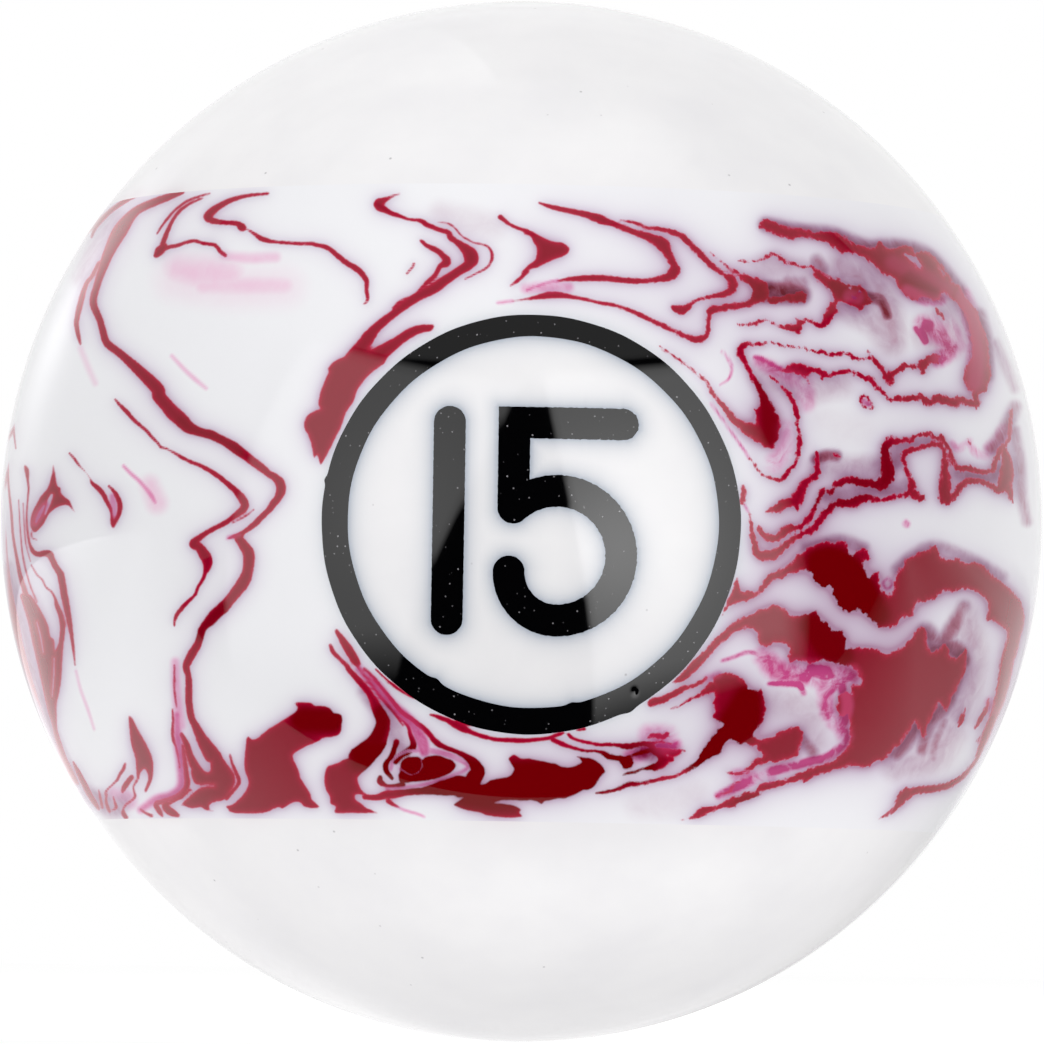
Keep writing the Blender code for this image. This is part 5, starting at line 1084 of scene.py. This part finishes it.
def lined(points, faces, rim):
    """A patch of the ball made solid: walls from its rim in to the core's bore, and loops that shrink on
    the bore's cylinder to a point at the front."""
    angle = np.arctan2(points[rim, 0], -points[rim, 1])
    height = points[rim, 2]
    part = np.array([1, 0.8, 0.6, 0.4, 0.2])[:, None]
    wall = np.stack([
        CORE_BORE * np.sin(part * angle),
        -CORE_BORE * np.cos(part * angle),
        part * height,
    ], -1)
    index = len(points) + np.arange(wall[..., 0].size).reshape(len(part), -1)
    hub = len(points) + index.size
    points = np.concatenate([points, wall.reshape(-1, 3), [[0, -CORE_BORE, 0]]])
    index = np.vstack([rim, index])
    faces = np.concatenate([faces, joined(index), fanned(index[-1], hub)])
    return points, faces


RING_RADIUS = 10.975
BORE_FLOOR = BALL_RADIUS - 6.0


def ring_edge(around):
    """Radius of the ring's outer edge: true to two hundredths, with two bumps of about 0.1 mm where the
    mould was nicked."""
    edge = RING_RADIUS + 0.012 * np.sin(7 * around + 1) + 0.008 * np.sin(23 * around)
    edge += 0.1 * np.exp(-(np.degrees(around) % 360 - 168.7) ** 2 / 1.1)
    edge += 0.12 * np.exp(-(np.degrees(around) % 360 - 298.8) ** 2 / 4)
    return edge


def on_front(x, z):
    """Points of the ball's front over a flat place: y is minus the root of R squared less x and z
    squared."""
    return np.stack([x, -np.sqrt(BALL_RADIUS ** 2 - x ** 2 - z ** 2), z], -1)


def number_panel(count=1096, steps=80):
    """The panel round a number: loops of points go from the bore's floor up its wall, then from the
    ring's edge to the panel's border in equal steps of angle and height."""
    half = np.radians(NUMBER_HALF_ANGLE)
    side = np.linspace(-1, 1, count // 4, endpoint=False)
    one = np.ones_like(side)
    border_angle = half * np.concatenate([one, -side, -one, side])
    border_height = STRIPE_HALF * np.concatenate([side, one, -side, -one])
    around = np.arctan2(border_height + NUMBER_DROP, BALL_RADIUS * border_angle)
    radius = ring_edge(around)
    x = radius * np.cos(around)
    z = radius * np.sin(around) - NUMBER_DROP
    edge = on_front(x, z)
    floor = np.stack([x, np.full_like(x, -BORE_FLOOR), z], -1)
    part = np.linspace(0, 1, steps)[1:, None]
    start = np.arctan2(edge[:, 0], -edge[:, 1])
    face = on_ball(start + part * (border_angle - start), z + part * (border_height - z))
    loops = np.concatenate([[floor], [edge], face])
    index = np.arange(loops[..., 0].size).reshape(len(loops), -1)
    points = np.concatenate([loops.reshape(-1, 3), [[0, -BORE_FLOOR, -NUMBER_DROP]]])
    faces = np.concatenate([joined(index), fanned(index[0], len(points) - 1)[:, ::-1]])
    return lined(points, faces, index[-1])


def side_panel(columns=262, rows=340):
    """A plain panel: a grid of angle by height on the ball, closed behind."""
    half = np.radians(SIDE_HALF_ANGLE)
    angle, height = np.meshgrid(
        np.linspace(-half, half, columns), np.linspace(-STRIPE_HALF, STRIPE_HALF, rows)
    )
    points = on_ball(angle, height).reshape(-1, 3)
    index = np.arange(len(points)).reshape(rows, columns)
    a, b, c, d = index[:-1, :-1], index[:-1, 1:], index[1:, 1:], index[1:, :-1]
    faces = np.concatenate([np.stack([a, b, c], -1), np.stack([a, c, d], -1)]).reshape(-1, 3)
    rim = np.concatenate([index[0, :-1], index[:-1, -1], index[-1, :0:-1], index[:0:-1, 0]])
    return lined(points, faces, rim)


for name, (points, faces), degrees in (
    ("stripe_front_panel", number_panel(), 0),
    ("stripe_right_panel", side_panel(), 62.5),
    ("stripe_right_rear_panel", side_panel(), 117.5),
    ("stripe_back_panel", number_panel(), 180),
    ("stripe_left_rear_panel", side_panel(), -117.5),
    ("stripe_left_panel", side_panel(), -62.5),
):
    placed = turned(points, degrees)
    fields = marbled(placed)
    fields["shade"] = np.zeros(len(points))
    # Painted shade: bluish grey in the white round each number's ring.
    if degrees % 180 == 0:
        out_of_ring = np.hypot(points[:, 0], points[:, 2] + NUMBER_DROP) - RING_RADIUS
        fields["shade"] = 0.5 * np.exp(-np.maximum(out_of_ring, 0) / 0.3)
    cast(name, placed, faces, MARBLED_RESIN, "marbled_stripe", fields)


# Caps: two segments of white phenolic, cast on the flat ends of the stripe and ground with it to one
# sphere. They show as plain polished white, with painted lilac shade close to the stripe's dye, and a hard
# line where they meet the marbling.

def cap(count=720):
    """A cap: circles on the ball, 0.12 mm apart beside the stripe and wider towards the pole, on a flat
    base."""
    rim = np.arcsin(STRIPE_HALF / BALL_RADIUS)
    steps = np.concatenate([np.arange(12) * 0.12, np.linspace(1.6, 26.9, 90)]) / BALL_RADIUS
    rise = np.minimum(rim + steps, np.pi / 2 - 1e-3)[:, None]
    around = np.linspace(0, 2 * np.pi, count, endpoint=False)
    height = BALL_RADIUS * np.sin(rise) * np.ones_like(around)
    loops = on_ball(around, height)
    index = np.arange(height.size).reshape(height.shape)
    hubs = [[0, 0, STRIPE_HALF], [0, 0, BALL_RADIUS]]
    points = np.concatenate([loops.reshape(-1, 3), hubs])
    base = fanned(index[0], height.size)[:, ::-1]
    crown = fanned(index[-1], height.size + 1)
    return points, np.concatenate([joined(index), base, crown])


for name, node, way in (("white_top", "upper_cap", 1), ("white_bottom", "lower_cap", -1)):
    points, faces = cap()
    points = points * [1, 1, way]
    # Painted shade: lilac in the white within 2 mm of the stripe, close to the dye.
    fields = {"painted_dye_shade": 0.6 * marbled(points)["painted_dye_shade"] * (np.abs(points[:, 2]) < STRIPE_HALF + 2)}
    cast(name, points, faces, WHITE_RESIN, node, fields)


# Number rings: bands of black phenolic, cast into round bores of the stripe and ground flush with it.
# Dust and tiny bubbles in the black show as grey flecks, and one open bubble low on the right of each is
# dark.

DISC_ACROSS = 0.1
DISC_UP = 0.09 - NUMBER_DROP
DISC_RADIUS = RING_RADIUS - 1.27


def black_paint(tree, place):
    """Deep black with grey flecks about 0.1 mm across, some brighter than others, in cells of 0.42 mm.
    Gives the colour and how strongly it mirrors."""
    cell = add(tree, "ShaderNodeTexVoronoi", {"Vector": place, "Scale": 1 / (0.42 * MM)})
    pale = add(tree, "ShaderNodeSeparateColor", {"Color": cell["Color"]})["Red"]
    fleck = add(
        tree, "ShaderNodeMapRange",
        {"Value": cell["Distance"], "From Min": 0.04, "From Max": 0.14, "To Min": 1.0, "To Max": 0.0},
    )["Result"]
    fleck = add(tree, "ShaderNodeMath", {0: fleck, 1: pale}, operation="MULTIPLY")[0]
    black = add(
        tree, "ShaderNodeMix",
        {0: fleck, 6: linear("#030304"), 7: linear("#a5a3a7")}, data_type="RGBA",
    )[2]
    return black, 0.5


# Black phenolic: dyed through and polished, so the eye gets black with the lights mirrored in it.
BLACK_RESIN = phenolic("black_phenolic", black_paint)


def disc_edge(around):
    """Radius of the disc inside the ring, with two small bumps of black on its lower edge."""
    edge = DISC_RADIUS + 0.012 * np.sin(5 * around) + 0.01 * np.sin(19 * around + 2)
    edge -= 0.12 * np.exp(-(np.degrees(around) % 360 - 239.3) ** 2 / 3)
    edge -= 0.1 * np.exp(-(np.degrees(around) % 360 - 282.9) ** 2 / 3)
    return edge


def number_ring(count=720):
    """A ring: its outer wall, its face in twelve steps from the outer edge to the inner, and its inner
    wall, carried round the number."""
    around = np.linspace(0, 2 * np.pi, count, endpoint=False)
    outer = ring_edge(around) * np.stack([np.cos(around), np.sin(around)]) + [[0], [-NUMBER_DROP]]
    inner = disc_edge(around) * np.stack([np.cos(around), np.sin(around)]) + [[DISC_ACROSS], [DISC_UP]]
    part = np.linspace(0, 1, 13)[:, None]
    x = outer[0] + part * (inner[0] - outer[0])
    z = outer[1] + part * (inner[1] - outer[1])
    face = on_front(x, z)
    bubble = np.hypot(x - 5.55, z + 9.95)
    face[..., 1] += 0.06 * np.exp(-(bubble / 0.14) ** 2)
    outer_floor = np.stack([outer[0], np.full(count, -BORE_FLOOR), outer[1]], -1)
    inner_floor = np.stack([inner[0], np.full(count, -BORE_FLOOR), inner[1]], -1)
    loops = np.concatenate([[outer_floor], face, [inner_floor]])
    index = np.arange(loops[..., 0].size).reshape(len(loops), -1)
    return loops.reshape(-1, 3), joined(np.vstack([index, index[:1]]))


for side, degrees in (("front", 0), ("back", 180)):
    points, faces = number_ring()
    points = turned(points, degrees)
    cast(f"{side}_ring", points, faces, BLACK_RESIN, f"{side}_number_ring", {})


# Digits: black phenolic poured into pockets cut in the disc with one round cutter, then ground flush.
# Their strokes have one width and round ends, apart from the square corner at the top of the 5.

HALF_STROKE = 0.83
DIGIT_FLOOR = BALL_RADIUS - 3.0


def arc(x, z, radius, start, end):
    """Points 0.12 mm apart along an arc about x, z between two angles in degrees."""
    count = max(4, int(abs(np.radians(end - start)) * radius / 0.12))
    turn = np.radians(np.linspace(start, end, count))
    return np.stack([x + radius * np.cos(turn), z + radius * np.sin(turn)], -1)


def straight(ax, az, bx, bz):
    """Points 0.12 mm apart along a line, both ends left out."""
    count = max(3, int(np.hypot(bx - ax, bz - az) / 0.12))
    part = np.linspace(0, 1, count)[1:-1, None]
    return np.array([[ax, az]]) * (1 - part) + np.array([[bx, bz]]) * part


def cut_by_hand(outline):
    """An outline moved to its place on the disc, its edge wavering by up to 0.03 mm, most on the
    right."""
    along = np.cumsum(np.hypot(*(outline - np.roll(outline, 1, 0)).T))
    waver = np.sin(9.1 * along) + np.sin(15.7 * along + 1) + np.sin(23.3 * along + 2)
    ahead = np.roll(outline, -1, 0) - np.roll(outline, 1, 0)
    normal = np.stack([ahead[:, 1], -ahead[:, 0]], -1) / np.linalg.norm(ahead, axis=1)[:, None]
    size = 0.004 + 0.006 * np.clip((outline[:, :1] + 2) / 6, 0, 1)
    return outline + normal * size * waver[:, None] + [DISC_ACROSS, DISC_UP]


ONE = cut_by_hand(np.concatenate([
    arc(-4.46, 5.145, HALF_STROKE, 0, 180),
    straight(-5.29, 5.145, -5.29, -5.145),
    arc(-4.46, -5.145, HALF_STROKE, 180, 360),
    straight(-3.63, -5.145, -3.63, 5.145),
]))
FIVE = cut_by_hand(np.concatenate([
    [[-1.92, 5.975]],
    straight(-1.92, 5.975, 4.58, 5.975),
    arc(4.58, 5.145, HALF_STROKE, 90, -90),
    straight(4.58, 4.315, -.26, 4.315),
    [[-.26, 4.315]],
    straight(-.26, 4.315, -.26, 2.156),
    arc(1.22, -1.775, 4.2, 110.6, -90),
    arc(1.22, -2.645, 3.33, -90, -180)[1:],
    arc(-1.28, -2.645, HALF_STROKE, 180, 0)[1:],
    arc(1.22, -2.645, 1.67, -180, -90)[1:],
    arc(1.22, -1.775, 2.54, -90, 133.27)[1:],
    arc(-1.09, .679, HALF_STROKE, -46.7, -180)[1:],
    straight(-1.92, .679, -1.92, 5.975),
]))


def within(points, outline):
    """Whether points are inside an outline: a line to the right crosses it an odd number of times."""
    x, z = points[:, :1], points[:, 1:]
    ax, az = outline.T
    bx, bz = np.roll(outline, -1, 0).T
    spans = (az > z) != (bz > z)
    meets = ax + (bx - ax) * (z - az) / np.where(bz == az, 1, bz - az)
    return (spans & (x < meets)).sum(1) % 2 == 1


def filled(outlines, spacing):
    """Triangles over the first outline less the others: Delaunay triangles of the outlines and a lattice
    inside, kept where their middle is inside."""
    edge = np.concatenate(outlines)
    low, high = edge.min(0), edge.max(0)
    lines = [np.arange(a, b, spacing) for a, b in zip(low, high)]
    lattice = np.stack(np.meshgrid(*lines), -1).reshape(-1, 2)
    keep = within(lattice, outlines[0])
    for hole in outlines[1:]:
        keep &= ~within(lattice, hole)
    lattice = lattice[keep]
    apart = np.min(np.hypot(*(lattice[:, None] - edge).transpose(2, 0, 1)), 1)
    flat = np.concatenate([edge, lattice[apart > 0.6 * spacing]])
    ties = []
    start = 0
    for outline in outlines:
        turn = start + np.arange(len(outline))
        ties += np.stack([turn, np.roll(turn, -1)], -1).tolist()
        start += len(outline)
    made = delaunay_2d_cdt([Vector(point) for point in flat], ties, [], 0, 1e-9)
    flat = np.array([point[:] for point in made[0]])
    faces = np.array(made[2])
    middle = flat[faces].mean(1)
    keep = within(middle, outlines[0])
    for hole in outlines[1:]:
        keep &= ~within(middle, hole)
    return flat, faces[keep]


def standing(flat, level):
    """Flat places put on a plane that faces the front."""
    return np.stack([flat[:, 0], np.full(len(flat), -level), flat[:, 1]], -1)


def digit(outline):
    """A digit: its face on the ball, a straight wall down from its outline, and a flat floor."""
    flat, faces = filled([outline], 0.25)
    count = len(flat)
    points = np.concatenate([on_front(*flat.T), standing(flat, DIGIT_FLOOR)])
    rim = np.arange(len(outline))
    return points, np.concatenate([faces, joined(np.stack([rim + count, rim])), faces[:, ::-1] + count])


for side, degrees in (("front", 0), ("back", 180)):
    for name, outline in (("one", ONE), ("five", FIVE)):
        points, faces = digit(outline)
        points = turned(points, degrees)
        cast(f"{side}_{name}", points, faces, BLACK_RESIN, f"{side}_digit_{name}", {})


# Number discs: white phenolic plugs inside the rings, with the digits' pockets cut in them.
# The white is a little translucent; its bluish grey close to the black is painted shade.

def number_disc():
    """A disc: its face on the ball with the digits left out, a wall down to the bore's floor, a flat
    floor, and a wall and floor to each pocket."""
    around = np.linspace(0, 2 * np.pi, 720, endpoint=False)
    rim = disc_edge(around) * np.stack([np.cos(around), np.sin(around)])
    rim = rim.T + [DISC_ACROSS, DISC_UP]
    flat, faces = filled([rim, ONE, FIVE], 0.22)
    black = np.concatenate([rim, ONE, FIVE])
    apart = np.min(np.hypot(*(flat[:, None] - black).transpose(2, 0, 1)), 1)
    points = [on_front(*flat.T)]
    # Painted shade: bluish grey in the white beside the ring and the digits.
    shade = [0.7 * np.exp(-apart / 0.4)]
    parts = [faces]
    total = len(flat)
    start = 0
    for outline, level in ((rim, BORE_FLOOR), (ONE, DIGIT_FLOOR), (FIVE, DIGIT_FLOOR)):
        turn = np.arange(len(outline))
        base, tiles = filled([outline], 2.0)
        points.append(standing(base, level))
        shade.append(np.zeros(len(base)))
        parts.append(joined(np.stack([turn + total, turn + start])))
        way = -1 if start == 0 else 1
        parts.append(tiles[:, ::way] + total)
        start += len(outline)
        total += len(base)
    return np.concatenate(points), np.concatenate(parts), np.concatenate(shade)


for side, degrees in (("front", 0), ("back", 180)):
    points, faces, shade = number_disc()
    points = turned(points, degrees)
    fields = {"shade": shade}
    cast(f"{side}_disc", points, faces, WHITE_RESIN, f"{side}_number_disc", fields)


# Floor, light and camera: a white table, lit from below, that ends just in front of the ball, a tall soft
# lamp on each side of the front, one above, a pale wall on the left, fills and a white room behind, as in
# a product photograph. The camera stands where the veins were drawn.

def panel(name, points, quads, material):
    """A sheet that belongs to the stage and not to the ball."""
    mesh = bpy.data.meshes.new(name)
    mesh.from_pydata(points, [], quads)
    mesh.materials.append(material)
    screen = bpy.data.objects.new(name, mesh)
    bpy.context.collection.objects.link(screen)
    return screen


# Lit white table: glows evenly and scatters a little of the lamps, so the eye gets white and a soft
# shadow. In the polish it is darker towards the front and the right, and its near edge fades out at the
# right.
table_paint = bpy.data.materials.new("lit_white_table")
table_paint.use_nodes = True
tree = table_paint.node_tree
tree.nodes.clear()
path = add(tree, "ShaderNodeLightPath")
spot = add(tree, "ShaderNodeTexCoord")["Object"]
spot = add(tree, "ShaderNodeSeparateXYZ", {"Vector": spot})
depth = add(tree, "ShaderNodeMapRange", {"Value": spot["Y"], "From Min": -0.03, "From Max": 0.02})["Result"]
depth = add(
    tree, "ShaderNodeValToRGB", {"Fac": depth}, [(0, "#595959"), (0.6, "#f9f9f9"), (1, "#d3d3d3")]
)["Color"]
darker = add(
    tree, "ShaderNodeMapRange",
    {"Value": spot["X"], "From Min": -0.01, "From Max": 0.05, "To Min": 1, "To Max": 0.4},
)["Result"]
distant = add(
    tree, "ShaderNodeMapRange", {"Value": spot["Y"], "From Min": 0.04, "From Max": 0.18, "To Max": 0.45}
)["Result"]
mirrored_glow = add(tree, "ShaderNodeMath", {0: depth, 1: darker, 2: distant}, operation="MULTIPLY_ADD")[0]
seen = add(
    tree, "ShaderNodeMapRange", {"Value": path["Is Camera Ray"], "To Min": 0.6, "To Max": 0.9}
)["Result"]
seen = add(tree, "ShaderNodeMix", {0: path["Is Glossy Ray"], 2: seen, 3: mirrored_glow})[0]
lit = add(tree, "ShaderNodeEmission", {"Color": linear("#ffffff"), "Strength": seen})["Emission"]
matt = add(tree, "ShaderNodeBsdfDiffuse", {"Color": linear("#9c9c9c")})["BSDF"]
rightward = add(
    tree, "ShaderNodeMapRange", {"Value": spot["X"], "From Min": 0.03, "From Max": 0.08}
)["Result"]
edge = add(
    tree, "ShaderNodeMapRange",
    {"Value": spot["Y"], "From Min": -0.03, "From Max": 0, "To Min": 1, "To Max": 0},
)["Result"]
faded = add(tree, "ShaderNodeMath", {0: rightward, 1: edge}, operation="MULTIPLY")[0]
faded = add(tree, "ShaderNodeMath", {0: faded, 1: path["Is Glossy Ray"]}, operation="MULTIPLY")[0]
matt = add(tree, "ShaderNodeMixShader", {0: faded, 1: matt})["Shader"]
both = add(tree, "ShaderNodeAddShader", {0: lit, 1: matt})["Shader"]
add(tree, "ShaderNodeOutputMaterial", {"Surface": both})
low = -BALL_RADIUS * MM
corners = [(-1.5, -0.030, low), (1.5, -0.030, low), (1.5, 3, low), (-1.5, 3, low)]
panel("white_table", corners, [(0, 1, 2, 3)], table_paint)

# Each lamp: its corners as degrees round and above the view, its brightness, its brightness at the far
# edge, the share of its height over which it fades at its foot, the share of its width over which it
# fades at its far edge, its distance in metres, and its bulb: how much brighter it is there, where that
# is in degrees round and above, and how wide in degrees. The fills light the ball without showing in its
# polish, and the wall shows in the polish only.
LAMP_POINTS = 41
BRIM = 0.03
for name, corners, bright, far_bright, foot, far_fade, reach, bulb in (
    (
        "left_softbox", [(1, 30), (-30, -33), (-74, -33), (-55, 36.7)],
        1.25, 1.25, 0.18, 0.03, 0.6, (0.3, -28, 3, 15),
    ),
    (
        "right_softbox", [(4.1, 32.6), (19.4, -47), (70.4, -25.5), (49.5, 32.6)],
        1.72, 1.72, 0.14, 0.14, 0.6, (1.3, 21, -5, 17.7),
    ),
    (
        "top_softbox", [(-110, 33.4), (110, 33.4), (110, 64), (-110, 64)],
        0.38, 0.42, 0.03, 0.03, 0.62, (0, 0, 0, 1),
    ),
    (
        "left_wall", [(-62, 70), (-62, -4), (-172, -30), (-172, 70)],
        0.33, 0.97, 0.03, 0.03, 0.7, (1.6, -143, 17, 10),
    ),
    (
        "front_fill", [(-65, 50), (-65, -60), (95, -60), (95, 50)],
        0.43, 0.0, 0.03, 0.03, 0.75, (0, 0, 0, 1),
    ),
    (
        "left_fill", [(-65, 50), (-65, -50), (-155, -50), (-155, 50)],
        1.05, 1.5, 0.03, 0.03, 0.75, (0, 0, 0, 1),
    ),
    (
        "top_fill", [(-180, 56), (180, 56), (180, 89), (-180, 89)],
        2.1, 2.1, 0.03, 0.03, 0.75, (0, 0, 0, 1),
    ),
):
    corners = np.radians(corners)
    u, v = np.meshgrid(np.linspace(0, 1, LAMP_POINTS), np.linspace(0, 1, LAMP_POINTS))
    u, v = u[..., None], v[..., None]
    near = corners[0] * (1 - u) + corners[1] * u
    far = corners[3] * (1 - u) + corners[2] * u
    a, e = np.split(near * (1 - v) + far * v, 2, -1)
    points = reach * (np.cos(e) * (np.cos(a) * view_out + np.sin(a) * view_right) + np.sin(e) * view_up)
    index = np.arange(LAMP_POINTS ** 2).reshape(LAMP_POINTS, LAMP_POINTS)
    quads = np.stack([index[:-1, :-1], index[:-1, 1:], index[1:, 1:], index[1:, :-1]], -1).reshape(-1, 4)
    ends = np.minimum(u / BRIM, (1 - u) / foot)
    sides = np.minimum(v / BRIM, (1 - v) / far_fade)
    brim = np.clip(np.minimum(ends, sides), 0, 1)
    if name == "left_wall":
        brim = np.clip(v / BRIM, 0, 1)
    more, bulb_round, bulb_above, bulb_width = bulb
    off_bulb = np.hypot(np.degrees(a) - bulb_round, np.degrees(e) - bulb_above)
    glare = 1 + more * np.exp(-(off_bulb / bulb_width) ** 2)
    shine = (bright + (far_bright - bright) * v ** 2) * brim * glare

    # Lamp cloth: a white diffuser that fades over its brim, so the eye gets soft lights in the polish.
    cloth = bpy.data.materials.new(f"{name}_cloth")
    cloth.use_nodes = True
    tree = cloth.node_tree
    tree.nodes.clear()
    power = add(tree, "ShaderNodeAttribute", attribute_name="shine")["Fac"]
    lit = add(tree, "ShaderNodeEmission", {"Color": linear("#ffffff"), "Strength": power})["Emission"]
    add(tree, "ShaderNodeOutputMaterial", {"Surface": lit})
    lamp = panel(name, points.reshape(-1, 3).tolist(), quads.tolist(), cloth)
    layer = lamp.data.attributes.new("shine", "FLOAT", "POINT")
    layer.data.foreach_set("value", shine.astype(np.float32).ravel())
    lamp.visible_camera = False
    lamp.visible_glossy = not name.endswith("fill")
    lamp.visible_diffuse = name != "left_wall"
    lamp.visible_shadow = name != "left_wall"

world = bpy.data.worlds.new("white_room")
world.use_nodes = True
bpy.context.scene.world = world
tree = world.node_tree
tree.nodes.clear()
direction = add(tree, "ShaderNodeTexCoord")["Generated"]
dark_side = np.cos(np.radians(11)) * view_out - np.sin(np.radians(11)) * view_right
facing = add(
    tree, "ShaderNodeVectorMath", {0: direction, 1: dark_side.tolist()}, operation="DOT_PRODUCT"
)["Value"]
behind = add(
    tree, "ShaderNodeMapRange", {"Value": facing, "From Min": -0.2, "From Max": -0.42, "To Max": 0.32},
)["Result"]
far_wall = add(
    tree, "ShaderNodeMapRange", {"Value": facing, "From Min": -0.45, "From Max": -0.85, "To Max": 0.65},
)["Result"]
behind = add(tree, "ShaderNodeMath", {0: behind, 1: far_wall}, operation="ADD")[0]
rising = add(
    tree, "ShaderNodeVectorMath", {0: direction, 1: view_up.tolist()}, operation="DOT_PRODUCT"
)["Value"]
above = add(
    tree, "ShaderNodeMapRange", {"Value": rising, "From Min": 0.86, "From Max": 0.95, "To Max": 0.5},
    interpolation_type="SMOOTHSTEP",
)["Result"]
behind = add(tree, "ShaderNodeMath", {0: behind, 1: above}, operation="MAXIMUM")[0]
camera_ray = add(tree, "ShaderNodeLightPath")["Is Camera Ray"]
strength = add(tree, "ShaderNodeMath", {0: behind, 1: camera_ray}, operation="MAXIMUM")[0]
room = add(tree, "ShaderNodeBackground", {"Color": linear("#ffffff"), "Strength": strength})
add(tree, "ShaderNodeOutputWorld", {"Surface": room["Background"]})

lens = bpy.data.cameras.new("camera")
lens.sensor_width = 36.0
lens.lens = 345.06
lens.shift_x = 0.00057
lens.shift_y = -0.00048
camera = bpy.data.objects.new("camera", lens)
axes = np.stack([view_right, view_up, view_out], 1)
camera.matrix_world = Matrix.Translation(VIEW_DISTANCE * MM * view_out) @ Matrix(axes.tolist()).to_4x4()
bpy.context.collection.objects.link(camera)
bpy.context.scene.camera = camera
bpy.context.scene.view_settings.view_transform = "Standard"
